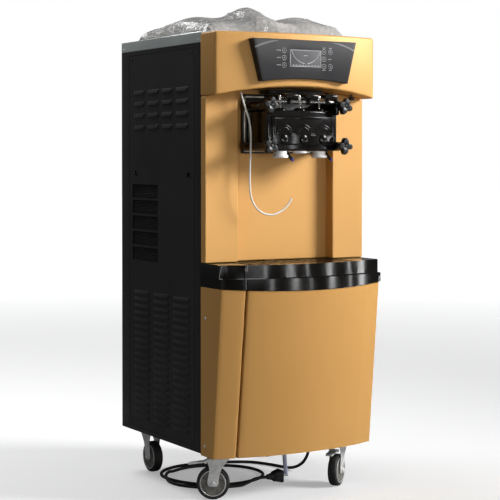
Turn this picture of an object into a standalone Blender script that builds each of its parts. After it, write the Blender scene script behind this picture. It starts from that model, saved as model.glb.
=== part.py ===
"""A floor-standing ice cream maker with three draw handles, on four casters.

Metres, +Z up, +X to the right of someone who faces the machine, and the front looks
along -Y. The origin is on the floor, under the middle of the cabinet.
"""

import math

import bmesh
import bpy
from mathutils import Matrix, Vector

# Cabinet
WIDTH = 0.540
HALF = WIDTH / 2
FLOOR_GAP = 0.137          # height of the cabinet's underside above the floor
SIDE_FRONT = -0.165        # front edge of the side panels
SIDE_REAR = 0.352
SIDE_TOP = 1.310
DECK_TOP = 1.341
SHEET = 0.002
PANEL_LIP = 0.014          # width of the folds along the side panels' edges
GAP = 0.0005               # clearance between neighbouring pieces

# Header
HEADER_TOP = 1.337
HEADER_BOTTOM = 1.155
HEADER_ARCH = 0.028
HEADER_FRONT = -0.250      # at the corners
HEADER_BOW = 0.036         # how much further forward the middle stands
PANEL_FACE = -0.298

# Column and dispensing head
COLUMN_FRONT = -0.192
RECESS_HALF = 0.162
RECESS_FLOOR = -0.155
HEAD_BOTTOM = 1.001
HEAD_TOP = 1.118
HEAD_FRONT = -0.288
VALVE_PITCH = 0.066
VALVE_Y = -0.266
ROD_Y = -0.284
ROD_Z = 1.142
LEVER_OFFSET = 0.015         # the lever stands beside its valve stem
LEVER_WIDTH = 0.011
KNOB_Y = -0.312
KNOB_X = 0.125
KNOB_Z = (1.130, 1.015)
CYLINDER_Z = 1.060

# Drip tray and lower front
BAND_TOP = 0.6815
BAND_LEDGE = 0.643
BAND_BOTTOM = 0.6155
BAND_DIP = 0.008
SEAM_X = -0.203
DOOR_TOP_CORNER = -0.285
DOOR_TOP_BOW = 0.067
DOOR_FOOT = 0.1325
DOOR_FOOT_CORNER = -0.237
DOOR_FOOT_BOW = 0.045
DOOR_HINGE = (0.262, -0.178)
DOOR_RETURN = -0.1695      # rear edge of the door's right side, which swings clear of the panel

# Casters: place of the stem, and the way the wheel trails
CASTER_X = 0.202
CASTER_FRONT_Y = -0.169
CASTER_REAR_Y = 0.300
CASTER_TRAIL = 0.026
WHEEL_RADIUS = 0.0475
WHEEL_SIDES = 24
CASTERS = {
    "front_left": (-CASTER_X, CASTER_FRONT_Y, 148.0),
    "front_right": (CASTER_X, CASTER_FRONT_Y, 218.0),
    "rear_left": (-CASTER_X, CASTER_REAR_Y, 270.0),
    "rear_right": (CASTER_X, CASTER_REAR_Y, 350.0),
}

# Cords: the route's own points, and the diameter
CORD_DIAMETER = 0.0095
CORD_POINTS = 80
CORD_ROUTE = [
    (0.207, 0.006, 0.1060), (0.207, 0.007, 0.0800), (0.204, 0.014, 0.0520),
    (0.196, 0.032, 0.0260), (0.183, 0.064, 0.0090), (0.170, 0.108, 0.0050),
    (0.154, 0.160, 0.0050), (0.124, 0.216, 0.0050), (0.076, 0.250, 0.0050),
    (0.010, 0.272, 0.0050), (-0.062, 0.284, 0.0050), (-0.125, 0.276, 0.0050),
    (-0.178, 0.244, 0.0050), (-0.212, 0.196, 0.0050), (-0.222, 0.140, 0.0050),
    (-0.212, 0.080, 0.0050), (-0.184, 0.024, 0.0050), (-0.140, -0.016, 0.0050),
    (-0.084, -0.032, 0.0050), (-0.026, -0.024, 0.0050), (0.026, 0.002, 0.0050),
    (0.062, 0.044, 0.0050), (0.076, 0.096, 0.0050), (0.070, 0.150, 0.0050),
    (0.040, 0.200, 0.0050), (-0.012, 0.236, 0.0050), (-0.070, 0.250, 0.0050),
    (-0.124, 0.238, 0.0050), (-0.166, 0.208, 0.0080), (-0.200, 0.170, 0.0160),
    (-0.232, 0.126, 0.0160), (-0.243, 0.080, 0.0080), (-0.230, 0.028, 0.0050),
    (-0.196, -0.022, 0.0050), (-0.142, -0.052, 0.0050), (-0.084, -0.062, 0.0050),
    (-0.058, -0.065, 0.0110), (-0.036, -0.066, 0.0190), (-0.016, -0.066, 0.0215),
    (0.008, -0.066, 0.0215),
]
DRAIN_PLACE = (-0.002, -0.185)
TUBE_DIAMETER = 0.0055
TUBE_ROUTE = [
    (-0.171, -0.225, 1.1680), (-0.167, -0.228, 1.1450), (-0.158, -0.232, 1.1150),
    (-0.150, -0.235, 1.0850), (-0.146, -0.236, 1.0500), (-0.146, -0.236, 1.0100),
    (-0.148, -0.236, 0.9600), (-0.149, -0.236, 0.9100), (-0.145, -0.236, 0.8720),
    (-0.130, -0.236, 0.8420), (-0.104, -0.236, 0.8230), (-0.074, -0.236, 0.8180),
    (-0.042, -0.236, 0.8290), (-0.022, -0.236, 0.8450), (-0.009, -0.236, 0.8640),
]

for old in list(bpy.data.objects):
    bpy.data.objects.remove(old)

parts = bpy.data.collections.new("ice_cream_maker")
cutters = bpy.data.collections.new("cutters")
bpy.context.scene.collection.children.link(parts)
bpy.context.scene.collection.children.link(cutters)


def material(name, colour, roughness, metallic=0.0, alpha=1.0):
    made = bpy.data.materials.new(name)
    made.use_nodes = True
    shader = made.node_tree.nodes["Principled BSDF"]
    shader.inputs["Base Color"].default_value = (*colour, 1.0)
    shader.inputs["Roughness"].default_value = roughness
    shader.inputs["Metallic"].default_value = metallic
    shader.inputs["Alpha"].default_value = alpha
    made.diffuse_color = (*colour, alpha)
    return made


GOLD = material("gold_paint", (0.72, 0.47, 0.20), 0.38, 0.35)
BLACK_PAINT = material("black_paint", (0.020, 0.020, 0.019), 0.45)
BLACK_GLOSS = material("black_gloss_plastic", (0.012, 0.012, 0.013), 0.15)
BLACK_MATTE = material("black_plastic", (0.025, 0.025, 0.027), 0.45)
DISPLAY = material("display_glass", (0.33, 0.34, 0.35), 0.2)
STEEL = material("stainless_steel", (0.50, 0.53, 0.52), 0.3, 1.0)
CHROME = material("chrome", (0.80, 0.80, 0.80), 0.08, 1.0)
ZINC = material("zinc_plate", (0.62, 0.64, 0.66), 0.3, 1.0)
WHITE = material("white_plastic", (0.86, 0.86, 0.84), 0.35)
RUBBER = material("rubber", (0.030, 0.028, 0.027), 0.75)
ALUMINIUM = material("aluminium_fins", (0.70, 0.71, 0.72), 0.35, 1.0)
FILM = material("clear_film", (0.75, 0.76, 0.76), 0.2, 0.0, 0.5)
CLEAR_TUBE = material("clear_tube", (0.85, 0.84, 0.80), 0.25, 0.0, 0.7)
BLUE_GREY = material("drain_hose", (0.50, 0.53, 0.66), 0.4)


def add(name, mesh, finish, at=(0, 0, 0), turn=0.0, sharp=35.0):
    """Put a mesh in the scene as a part; turn is in degrees about the vertical."""
    made = bpy.data.objects.new(name, mesh)
    made.location = at
    made.rotation_euler.z = math.radians(turn)
    mesh.shade_smooth()
    mesh.set_sharp_from_angle(angle=math.radians(sharp))
    if finish:
        mesh.materials.append(finish)
        parts.objects.link(made)
    else:
        cutters.objects.link(made)
        made.hide_render = True
        made.display_type = "WIRE"
    return made


def mesh_of(name, bm):
    bmesh.ops.recalc_face_normals(bm, faces=bm.faces)
    mesh = bpy.data.meshes.new(name)
    bm.to_mesh(mesh)
    bm.free()
    return mesh


def box(name, low, high, finish=None, at=(0, 0, 0), turn=0.0):
    """A box between two corners, which are measured from its object's origin."""
    low, high = Vector(low), Vector(high)
    bm = bmesh.new()
    bmesh.ops.create_cube(bm, size=1.0)
    bmesh.ops.scale(bm, vec=high - low, verts=bm.verts)
    bmesh.ops.translate(bm, vec=(low + high) / 2, verts=bm.verts)
    return add(name, mesh_of(name, bm), finish, at, turn)


def round_top(made, width, segments):
    """Round the edges round the top face of a box."""
    bm = bmesh.new()
    bm.from_mesh(made.data)
    height = max(corner.co.z for corner in bm.verts)
    rim = [edge for edge in bm.edges if all(corner.co.z > height - 0.0001 for corner in edge.verts)]
    bmesh.ops.bevel(bm, geom=rim, offset=width, segments=segments, affect="EDGES", profile=0.5)
    bm.to_mesh(made.data)
    bm.free()


def rod(name, start, end, radius, finish=None, at=(0, 0, 0), turn=0.0, sides=16, end_radius=None):
    """A round bar or a cone between two points."""
    start, end = Vector(start), Vector(end)
    run = end - start
    bm = bmesh.new()
    bmesh.ops.create_cone(
        bm, cap_ends=True, segments=sides, radius1=radius,
        radius2=radius if end_radius is None else end_radius, depth=run.length,
    )
    aim = run.to_track_quat("Z", "Y").to_matrix().to_4x4()
    bmesh.ops.transform(bm, matrix=Matrix.Translation((start + end) / 2) @ aim, verts=bm.verts)
    return add(name, mesh_of(name, bm), finish, at, turn)


def turned(name, profile, finish=None, at=(0, 0, 0), axis="Z", turn=0.0, steps=24):
    """A profile of (radius, height) points turned about an axis of the object.

    The outer side runs from the top to the bottom.
    """
    bm = bmesh.new()
    corners = [bm.verts.new((radius, 0.0, height)) for radius, height in profile]
    closed = all(radius > 0.0 for radius, _ in profile)
    for first, second in zip(corners, corners[1:] + (corners[:1] if closed else [])):
        bm.edges.new((first, second))
    mesh = bpy.data.meshes.new(name)
    bm.to_mesh(mesh)
    bm.free()
    made = add(name, mesh, finish, at, turn)
    if axis == "X":
        made.rotation_euler = (0.0, math.pi / 2, 0.0)
    if axis == "Y":
        made.rotation_euler = (math.pi / 2, math.pi / steps, math.radians(turn))
    screw = made.modifiers.new("turn", "SCREW")
    screw.steps = steps
    screw.render_steps = steps
    screw.use_merge_vertices = True
    screw.merge_threshold = 0.00001
    return made


def prism(name, outline, low, high, finish=None, at=(0, 0, 0), turn=0.0, upright=True):
    """A flat outline given a thickness: in X and Z along Y, or in X and Y along Z."""
    curve = bpy.data.curves.new(name, "CURVE")
    curve.dimensions = "2D"
    curve.fill_mode = "BOTH"
    curve.extrude = (high - low) / 2
    spline = curve.splines.new("POLY")
    spline.points.add(len(outline) - 1)
    for point, (a, b) in zip(spline.points, outline):
        point.co = (a, b, 0.0, 1.0)
    spline.use_cyclic_u = True
    guide = bpy.data.objects.new(name, curve)
    cutters.objects.link(guide)
    seen = guide.evaluated_get(bpy.context.evaluated_depsgraph_get())
    mesh = bpy.data.meshes.new_from_object(seen)
    bpy.data.objects.remove(guide)
    bm = bmesh.new()
    bm.from_mesh(mesh)
    bmesh.ops.remove_doubles(bm, verts=bm.verts, dist=0.00001)
    middle = (low + high) / 2
    for corner in bm.verts:
        a, b, c = corner.co
        corner.co = (a, c + middle, b) if upright else (a, b, c + middle)
    return add(name, mesh_of(name, bm), finish, at, turn)


def sheet(name, lower, upper, finish, thickness=SHEET, at=(0, 0, 0)):
    """Sheet metal between a lower and an upper edge, thickened towards the inside.

    Seen from above, both edges run anticlockwise round the machine.
    """
    bm = bmesh.new()
    low = [bm.verts.new(Vector(point) - Vector(at)) for point in lower]
    high = [bm.verts.new(Vector(point) - Vector(at)) for point in upper]
    for i in range(len(low) - 1):
        bm.faces.new((low[i], low[i + 1], high[i + 1], high[i]))
    mesh = bpy.data.meshes.new(name)
    bm.to_mesh(mesh)
    bm.free()
    made = add(name, mesh, finish, at)
    thicken(made, thickness)
    return made


def thicken(made, thickness):
    wall = made.modifiers.new("wall", "SOLIDIFY")
    wall.thickness = thickness
    wall.offset = -1.0
    wall.use_even_offset = True
    return made


def bow(x, corner, depth):
    """Y of a bowed front: a parabola that is furthest forward in the middle."""
    return corner - depth * (1.0 - (x / HALF) ** 2)


def bowed_block(name, left, right, corner, depth, back, low, high, lift=0.0, finish=None,
                open_back=False, steps=12):
    """A block with a bowed front; lift raises its underside in the middle (negative: lowers it)."""
    bm = bmesh.new()
    rows = []
    for i in range(steps + 1):
        x = left + (right - left) * i / steps
        front = bow(x, corner, depth)
        rise = lift * (1.0 - (x / HALF) ** 2)
        bottom = low + rise
        ring = [(x, back, bottom), (x, front, bottom), (x, front, high), (x, back, high)]
        rows.append([bm.verts.new(corner_point) for corner_point in ring])
    for first, second in zip(rows, rows[1:]):
        for k in range(3):
            bm.faces.new((first[k], first[k + 1], second[k + 1], second[k]))
        if not open_back:
            bm.faces.new((first[3], first[0], second[0], second[3]))
    bm.faces.new(rows[0])
    bm.faces.new(rows[-1])
    return add(name, mesh_of(name, bm), finish)


def boolean(made, tool, operation):
    step = made.modifiers.new(tool.name, "BOOLEAN")
    step.operation = operation
    step.object = tool
    step.solver = "EXACT"


def cut(made, *tools):
    for tool in tools:
        boolean(made, tool, "DIFFERENCE")
    return made


def join(made, *tools):
    for tool in tools:
        boolean(made, tool, "UNION")
    return made


def smooth_route(points, count):
    """Points spaced evenly along a smooth curve through the route's own points."""
    route = [Vector(point) for point in points]
    route = [2 * route[0] - route[1], *route, 2 * route[-1] - route[-2]]
    fine = []
    for a, b, c, d in zip(route, route[1:], route[2:], route[3:]):
        for i in range(24):
            t = i / 24
            fine.append(0.5 * (2 * b + (c - a) * t + (2 * a - 5 * b + 4 * c - d) * t * t
                               + (3 * b - a - 3 * c + d) * t ** 3))
    fine.append(route[-2])
    travelled = [0.0]
    for first, second in zip(fine, fine[1:]):
        travelled.append(travelled[-1] + (second - first).length)
    even = []
    k = 0
    for i in range(count):
        target = travelled[-1] * i / (count - 1)
        while k < len(fine) - 2 and travelled[k + 1] < target:
            k += 1
        share = (target - travelled[k]) / (travelled[k + 1] - travelled[k])
        even.append(fine[k].lerp(fine[k + 1], min(share, 1.0)))
    return even


def hose(name, points, diameter, finish, resolution=2):
    curve = bpy.data.curves.new(name, "CURVE")
    curve.dimensions = "3D"
    curve.bevel_depth = diameter / 2
    curve.bevel_resolution = resolution
    curve.use_fill_caps = True
    spline = curve.splines.new("POLY")
    spline.points.add(len(points) - 1)
    for point, place in zip(spline.points, points):
        point.co = (*place, 1.0)
    curve.materials.append(finish)
    made = bpy.data.objects.new(name, curve)
    parts.objects.link(made)
    return made


def base_and_frame():
    inner = HALF - PANEL_LIP - GAP
    front, rear = -0.212, SIDE_REAR - 0.004
    neck = CASTER_X + 0.0425
    waist = SIDE_FRONT + 0.006
    wall = 0.002
    low, high = FLOOR_GAP, FLOOR_GAP + 0.030
    base = box("base_frame", (-inner, waist, low), (inner, rear, high), ZINC)
    join(base, box("base_tongue", (-neck, front, low), (neck, waist + wall, high)))
    cut(base, box("base_hollow", (-inner + wall, waist + wall, low + wall), (inner - wall, rear - wall,
                                                                             high + 0.01)),
        box("tongue_hollow", (-neck + wall, front + wall, low + wall), (neck - wall, waist + 2 * wall,
                                                                        high + 0.01)))
    for place, (x, y, _) in CASTERS.items():
        join(base, box("caster_plate_" + place, (-0.040, -0.034, -0.004), (0.040, 0.034, 0.001),
                       at=(x, y, FLOOR_GAP)))
    x, y, _ = CORD_ROUTE[0]
    cut(base, rod("gland_hole", (x, y, FLOOR_GAP - 0.01), (x, y, FLOOR_GAP + 0.01), 0.0105))

    posts_low, posts_high = FLOOR_GAP + 0.031, SIDE_TOP - GAP
    post = 0.022
    outer = HALF - SHEET - 0.0006
    frame = box("cabinet_frame", (-outer, SIDE_FRONT + 0.016, posts_high - 0.025),
                (outer, SIDE_REAR - 0.016, posts_high), ZINC)
    cut(frame, box("frame_window", (-outer + post, SIDE_FRONT + 0.016 + post, posts_high - 0.05),
                   (outer - post, SIDE_REAR - 0.016 - post, posts_high + 0.05)))
    for side in (-1, 1):
        for label, y in (("front", SIDE_FRONT + 0.016), ("rear", SIDE_REAR - 0.016 - post)):
            x = -outer if side < 0 else outer - post
            join(frame, box(f"post_{label}_{side}", (x, y, posts_low), (x + post, y + post,
                                                                        posts_high - 0.001)))


def side_panel(name, side):
    x = side * HALF
    lip = x - side * PANEL_LIP
    plan = [(lip, SIDE_REAR), (x, SIDE_REAR), (x, SIDE_FRONT), (lip, SIDE_FRONT)]
    if side > 0:
        plan.reverse()
    panel = sheet(name, [(*point, FLOOR_GAP) for point in plan],
                  [(*point, SIDE_TOP) for point in plan], BLACK_PAINT)
    for row in range(5):
        low = 0.667 + 0.0482 * row
        cut(panel, box(f"{name}_grille_{row}", (x - 0.01, 0.104, low), (x + 0.01, 0.276, low + 0.0405)))
    return panel


def cabinet_sheets():
    side_panel("left_side_panel", -1)
    side_panel("right_side_panel", 1)
    rear_low, rear_high = FLOOR_GAP + GAP, SIDE_TOP - GAP
    rear = box("rear_panel", (-HALF + 0.001, SIDE_REAR + GAP, rear_low),
               (HALF - 0.001, SIDE_REAR + GAP + SHEET, rear_high), BLACK_PAINT)
    for row in range(6):
        low = 0.240 + 0.045 * row
        cut(rear, box(f"rear_vent_{row}", (-0.16, SIDE_REAR - 0.01, low), (0.16, SIDE_REAR + 0.01,
                                                                           low + 0.022)))


def hopper_place(side):
    return side * 0.118, 0.075


def top_deck():
    """The stainless deck with its raised rim and the two hopper openings."""
    front = SIDE_FRONT + 0.0005
    deck = box("top_tray", (-HALF, front, SIDE_TOP + GAP), (HALF, SIDE_REAR + 0.0025, DECK_TOP), STEEL)
    rim = 0.012
    cut(deck, box("deck_upper", (-HALF + rim, front + rim, DECK_TOP - 0.012),
                  (HALF - rim, SIDE_REAR - rim, DECK_TOP + 0.01)))
    cut(deck, box("deck_lower", (-HALF + 0.002, front + 0.002, SIDE_TOP - 0.01),
                  (HALF - 0.002, SIDE_REAR - 0.002, DECK_TOP - 0.014)))
    for label, side in (("left", -1), ("right", 1)):
        x, y = hopper_place(side)
        cut(deck, box(f"deck_mouth_{label}", (x - 0.0905, y - 0.1405, SIDE_TOP - 0.02),
                      (x + 0.0905, y + 0.1405, DECK_TOP + 0.02)))
        top = DECK_TOP - 0.0115
        basin = box(f"hopper_{label}", (-0.100, -0.150, top), (0.100, 0.150, top + 0.0015), STEEL,
                    at=(x, y, 0))
        join(basin, box(f"basin_body_{label}", (-0.090, -0.140, 1.128), (0.090, 0.140, top + 0.001),
                        at=(x, y, 0)))
        cut(basin, box(f"basin_hollow_{label}", (-0.0885, -0.1385, 1.1295), (0.0885, 0.1385,
                                                                             top + 0.02), at=(x, y, 0)))
        lid = box(f"hopper_lid_{label}", (-0.104, -0.154, 0.0), (0.104, 0.154, 0.036), BLACK_MATTE,
                  at=(x, y, top + 0.002))
        round_top(lid, 0.010, 2)
        cut(lid, box(f"lid_hollow_{label}", (-0.101, -0.151, -0.01), (0.101, 0.151, 0.033), at=(x, y,
                                                                                                top + 0.002)))
        join(lid, rod(f"lid_knob_{label}", (0, 0, 0.034), (0, 0, 0.056), 0.016, at=(x, y, top + 0.002),
                      sides=12))


def film_cover():
    """The packing film that lies over both hopper lids, as a thin open-bottomed dome."""
    bm = bmesh.new()
    bmesh.ops.create_cube(bm, size=1.0)
    size = (0.476, 0.452, 0.090)
    bmesh.ops.scale(bm, vec=size, verts=bm.verts)
    bmesh.ops.translate(bm, vec=(0.0, 0.0, size[2] / 2), verts=bm.verts)
    top = [face for face in bm.faces if face.normal.z > 0.5][0]
    bmesh.ops.scale(bm, vec=(0.86, 0.86, 1.0), verts=top.verts)
    bottom = [face for face in bm.faces if face.normal.z < -0.5]
    rim = [edge for edge in bm.edges if not any(face in bottom for face in edge.link_faces)]
    bmesh.ops.bevel(bm, geom=rim, offset=0.018, segments=2, affect="EDGES", profile=0.5)
    floor_faces = [face for face in bm.faces if face.normal.z < -0.9]
    bmesh.ops.delete(bm, geom=floor_faces, context="FACES")
    mesh = bpy.data.meshes.new("film_cover")
    bm.to_mesh(mesh)
    bm.free()
    thicken(add("film_cover", mesh, FILM, at=(0.0, 0.082, DECK_TOP + 0.0008)), 0.002)


def header():
    """The gold cowl with its arched lower edge, and the control panel on its face."""
    back = SIDE_FRONT - 0.0015
    cowl = bowed_block("header_cowl", -HALF, HALF, HEADER_FRONT, HEADER_BOW, back, HEADER_BOTTOM,
                       HEADER_TOP, HEADER_ARCH, GOLD, open_back=True, steps=16)
    rounding = cowl.modifiers.new("rounding", "BEVEL")
    rounding.width = 0.007
    rounding.segments = 2
    rounding.limit_method = "ANGLE"
    rounding.angle_limit = math.radians(50)
    thicken(cowl, SHEET)

    top, bottom = 1.3175, 1.1965
    outline = [(-0.175, top), (0.175, top)]
    for i in range(9):
        x = 0.145 - 0.29 * i / 8
        outline.append((x, bottom + 0.010 * (1 - (x / 0.145) ** 2)))
    panel = prism("control_panel", outline, PANEL_FACE, HEADER_FRONT - 0.005, BLACK_GLOSS)
    cut(panel, bowed_block("header_clear_of_panel", -HALF, HALF, HEADER_FRONT - GAP, HEADER_BOW, back,
                           1.1, 1.4))
    window = (-0.053, 1.240), (0.053, 1.290)
    cut(panel, box("display_pocket", (window[0][0], PANEL_FACE - 0.01, window[0][1]),
                   (window[1][0], PANEL_FACE + 0.002, window[1][1])))
    box("display_window", (window[0][0] + GAP, PANEL_FACE + 0.0003, window[0][1] + GAP),
        (window[1][0] - GAP, PANEL_FACE + 0.0016, window[1][1] - GAP), DISPLAY)


def column():
    """The folded front sheet with the recess that the dispensing head stands in."""
    low, high = BAND_TOP + 0.001, 1.300
    plan = [(-HALF, SIDE_FRONT - 0.001), (-HALF, COLUMN_FRONT), (-RECESS_HALF, COLUMN_FRONT),
            (-RECESS_HALF, RECESS_FLOOR), (RECESS_HALF, RECESS_FLOOR), (RECESS_HALF, COLUMN_FRONT),
            (HALF, COLUMN_FRONT), (HALF, SIDE_FRONT - 0.001)]
    made = sheet("front_column", [(*point, low) for point in plan], [(*point, high) for point in plan], GOLD)
    cut(made, bowed_block("header_clear_of_column", -HALF - 0.001, HALF + 0.001, HEADER_FRONT - 0.01,
                          HEADER_BOW, SIDE_FRONT - 0.0010, HEADER_BOTTOM - 0.001, HEADER_TOP + 0.01,
                          HEADER_ARCH, steps=16))
    cut(made, box("column_window", (-0.122, RECESS_FLOOR - 0.01, 1.004), (0.122, RECESS_FLOOR + 0.01,
                                                                          1.116)))
    box("switch_box", (-0.076, COLUMN_FRONT - 0.028, 1.1670), (0.110, RECESS_FLOOR - 0.012, 1.1775),
        BLACK_MATTE)


def dispensing_head():
    plate_y = RECESS_FLOOR - GAP
    plate = box("head_mount_plate", (-0.133, plate_y - 0.010, 0.994), (0.133, plate_y, 1.166), BLACK_GLOSS)
    back = plate_y - 0.010 - GAP
    for side in (-1, 1):
        cut(plate, rod(f"plate_bore_{side}", (side * VALVE_PITCH, plate_y - 0.02, CYLINDER_Z),
                       (side * VALVE_PITCH, plate_y + 0.02, CYLINDER_Z), 0.042, sides=24))
        for z in KNOB_Z:
            join(plate, rod(f"stud_{side}_{z}", (side * KNOB_X, plate_y - 0.005, z),
                            (side * KNOB_X, KNOB_Y - 0.004, z), 0.004, sides=8))

    head = box("dispensing_head", (-0.118, HEAD_FRONT + 0.006, HEAD_BOTTOM), (0.118, back, HEAD_TOP),
               BLACK_GLOSS)
    join(head, box("head_face", (-0.105, HEAD_FRONT, 1.018), (0.105, HEAD_FRONT + 0.02, 1.100)))
    for side in (-1, 1):
        join(head, box(f"rod_ear_{side}", (side * 0.113 - 0.006, ROD_Y - 0.010, HEAD_TOP - 0.01),
                       (side * 0.113 + 0.006, ROD_Y + 0.016, ROD_Z + 0.010)))
        for z in KNOB_Z:
            join(head, rod(f"lug_{side}_{z}", (side * KNOB_X, KNOB_Y + 0.014, z),
                           (side * KNOB_X, back, z), 0.013, sides=12))
    for side in (-1, 1):
        for z in KNOB_Z:
            cut(head, rod(f"stud_hole_{side}_{z}", (side * KNOB_X, KNOB_Y - 0.02, z),
                          (side * KNOB_X, back + 0.01, z), 0.0046, sides=8))
        cut(head, rod(f"inlet_{side}", (side * VALVE_PITCH, VALVE_Y, 1.035),
                      (side * VALVE_PITCH, back + 0.01, 1.035), 0.009, sides=12))
    cut(head, rod("rod_bore", (-0.2, ROD_Y, ROD_Z), (0.2, ROD_Y, ROD_Z), 0.0040, sides=12))
    rod("handle_rod", (-0.121, ROD_Y, ROD_Z), (0.121, ROD_Y, ROD_Z), 0.0036, CHROME, sides=12)

    arms = 4
    for label, x, z in (("upper_left", -KNOB_X, KNOB_Z[0]), ("upper_right", KNOB_X, KNOB_Z[0]),
                        ("lower_left", -KNOB_X, KNOB_Z[1]), ("lower_right", KNOB_X, KNOB_Z[1])):
        star = []
        for i in range(arms * 6):
            angle = 2 * math.pi * (i + 0.5) / (arms * 6)
            reach = 0.0165 + 0.0060 * math.cos(arms * angle)
            star.append((reach * math.cos(angle), reach * math.sin(angle)))
        knob = prism(f"star_knob_{label}", star, -0.010, 0.010, BLACK_MATTE, at=(x, KNOB_Y, z))
        cut(knob, rod(f"knob_bore_{label}", (0, -0.006, 0), (0, 0.02, 0), 0.0046, at=(x, KNOB_Y, z),
                      sides=8))

    for label, step in (("left", -1), ("middle", 0), ("right", 1)):
        x = step * VALVE_PITCH
        cut(head, rod(f"valve_bore_{label}", (x, VALVE_Y, HEAD_BOTTOM - 0.01), (x, VALVE_Y, HEAD_TOP + 0.01),
                      0.0110, sides=16))
        valve = rod(f"draw_valve_{label}", (0, 0, 0.006), (0, 0, 0.112), 0.0105, WHITE,
                    at=(x, VALVE_Y, HEAD_BOTTOM), sides=16)
        join(valve, rod(f"valve_stem_{label}", (0, 0, 0.105), (0, 0, 0.147), 0.0030,
                        at=(x, VALVE_Y, HEAD_BOTTOM), sides=8))
        draw_handle(label, x)


def draw_handle(label, x):
    """A lever that turns on the rod; its paddle stands out over the front of the head."""
    outline = [(-0.050, 0.006), (-0.046, 0.018), (-0.036, 0.023), (-0.006, 0.023), (0.004, 0.016),
               (0.008, 0.004), (0.006, -0.006), (-0.004, -0.008), (-0.010, -0.002), (-0.014, 0.006)]
    bm = bmesh.new()
    near = [bm.verts.new((LEVER_OFFSET - LEVER_WIDTH / 2, a, b)) for a, b in outline]
    far = [bm.verts.new((LEVER_OFFSET + LEVER_WIDTH / 2, a, b)) for a, b in outline]
    bm.faces.new(near)
    bm.faces.new(far)
    for i in range(len(outline)):
        j = (i + 1) % len(outline)
        bm.faces.new((near[i], near[j], far[j], far[i]))
    lever = add(f"draw_handle_{label}", mesh_of(f"draw_handle_{label}", bm), BLACK_GLOSS, at=(x, ROD_Y,
                                                                                              ROD_Z))
    join(lever, box(f"paddle_{label}", (-0.022, -0.050, 0.0075), (0.022, -0.012, 0.020), at=(x, ROD_Y,
                                                                                             ROD_Z)))
    cut(lever, rod(f"lever_bore_{label}", (-0.03, 0, 0), (0.03, 0, 0), 0.0041, at=(x, ROD_Y, ROD_Z),
                   sides=12))


def nozzles():
    top = HEAD_BOTTOM - GAP
    for label, step in (("left", -1), ("right", 1)):
        profile = [(0.0185, 0.0), (0.0185, -0.010), (0.0235, -0.013), (0.0225, -0.0195),
                   (0.0105, -0.0195), (0.0105, 0.0)]
        turned(f"nozzle_{label}", profile, WHITE, at=(step * VALVE_PITCH, VALVE_Y, top), steps=20)
    profile = [(0.0205, 0.0), (0.0205, -0.0045), (0.0180, -0.0075), (0.0095, -0.0075), (0.0095, 0.0)]
    turned("nozzle_middle", profile, WHITE, at=(0.0, VALVE_Y, top), steps=20)


def band_tiers(name, left, right, finish):
    back = SIDE_FRONT - 0.001
    lower = bowed_block(name, left, right, -0.287, 0.068, back, BAND_BOTTOM + 0.001, BAND_LEDGE,
                        -BAND_DIP, finish)
    upper = bowed_block(f"{name}_upper", left, right, -0.272, 0.063, back, BAND_LEDGE - 0.010, BAND_TOP, 0.0)
    return join(lower, upper)


def drip_tray():
    """The two-tier black moulding: a fixed left end, and the tray that pulls out forwards."""
    band_tiers("band_end_left", -HALF, SEAM_X - 0.001, BLACK_GLOSS)
    tray = band_tiers("drip_tray", SEAM_X + 0.001, HALF, BLACK_GLOSS)
    left, right = -0.190, 0.165
    cut(tray, bowed_block("tray_hollow", left + 0.004, right - 0.004, -0.262, 0.063, COLUMN_FRONT - 0.010,
                          0.624, BAND_TOP + 0.02))
    cut(tray, bowed_block("grille_rebate", left, right, -0.266, 0.063, COLUMN_FRONT - 0.004,
                          BAND_TOP - 0.004, BAND_TOP + 0.02))
    grille = bowed_block("drip_grille", left + GAP, right - GAP, -0.2655, 0.063, COLUMN_FRONT - 0.0045,
                         BAND_TOP - 0.0037, BAND_TOP - 0.0005, 0.0, BLACK_GLOSS)
    for i in range(14):
        x = left + 0.020 + 0.0240 * i
        cut(grille, box(f"grille_slot_{i}", (x - 0.008, -0.300, BAND_TOP - 0.02), (x + 0.008, -0.208,
                                                                                   BAND_TOP + 0.02)))


def lower_front():
    """The fixed left strip and the bowed door, which leans in towards its foot."""
    top = BAND_BOTTOM - 0.0012
    fold = 0.014

    def edge(xs, corner, depth, height, dip):
        return [(x, bow(x, corner, depth), height - dip * (1 - (x / HALF) ** 2)) for x in xs]

    def strip_plan(corner, depth, height, dip):
        xs = [-HALF + (SEAM_X - 0.0015 + HALF) * i / 2 for i in range(3)]
        run = edge(xs, corner, depth, height, dip)
        end = run[-1]
        return [(-HALF, SIDE_FRONT - 0.001, height), *run, (end[0], end[1] + fold, end[2])]

    def door_plan(corner, depth, height, dip):
        xs = [SEAM_X + 0.0015 + (HALF - SEAM_X - 0.0015) * i / 12 for i in range(13)]
        run = edge(xs, corner, depth, height, dip)
        start = run[0]
        return [(start[0], start[1] + fold, start[2]), *run, (HALF, DOOR_RETURN, height)]

    foot = (DOOR_FOOT_CORNER, DOOR_FOOT_BOW, DOOR_FOOT, 0.0)
    head = (DOOR_TOP_CORNER, DOOR_TOP_BOW, top, BAND_DIP)
    sheet("left_front_strip", strip_plan(*foot), strip_plan(*head), GOLD)
    sheet("front_door", door_plan(*foot), door_plan(*head), GOLD, at=(*DOOR_HINGE, 0.0))


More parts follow.
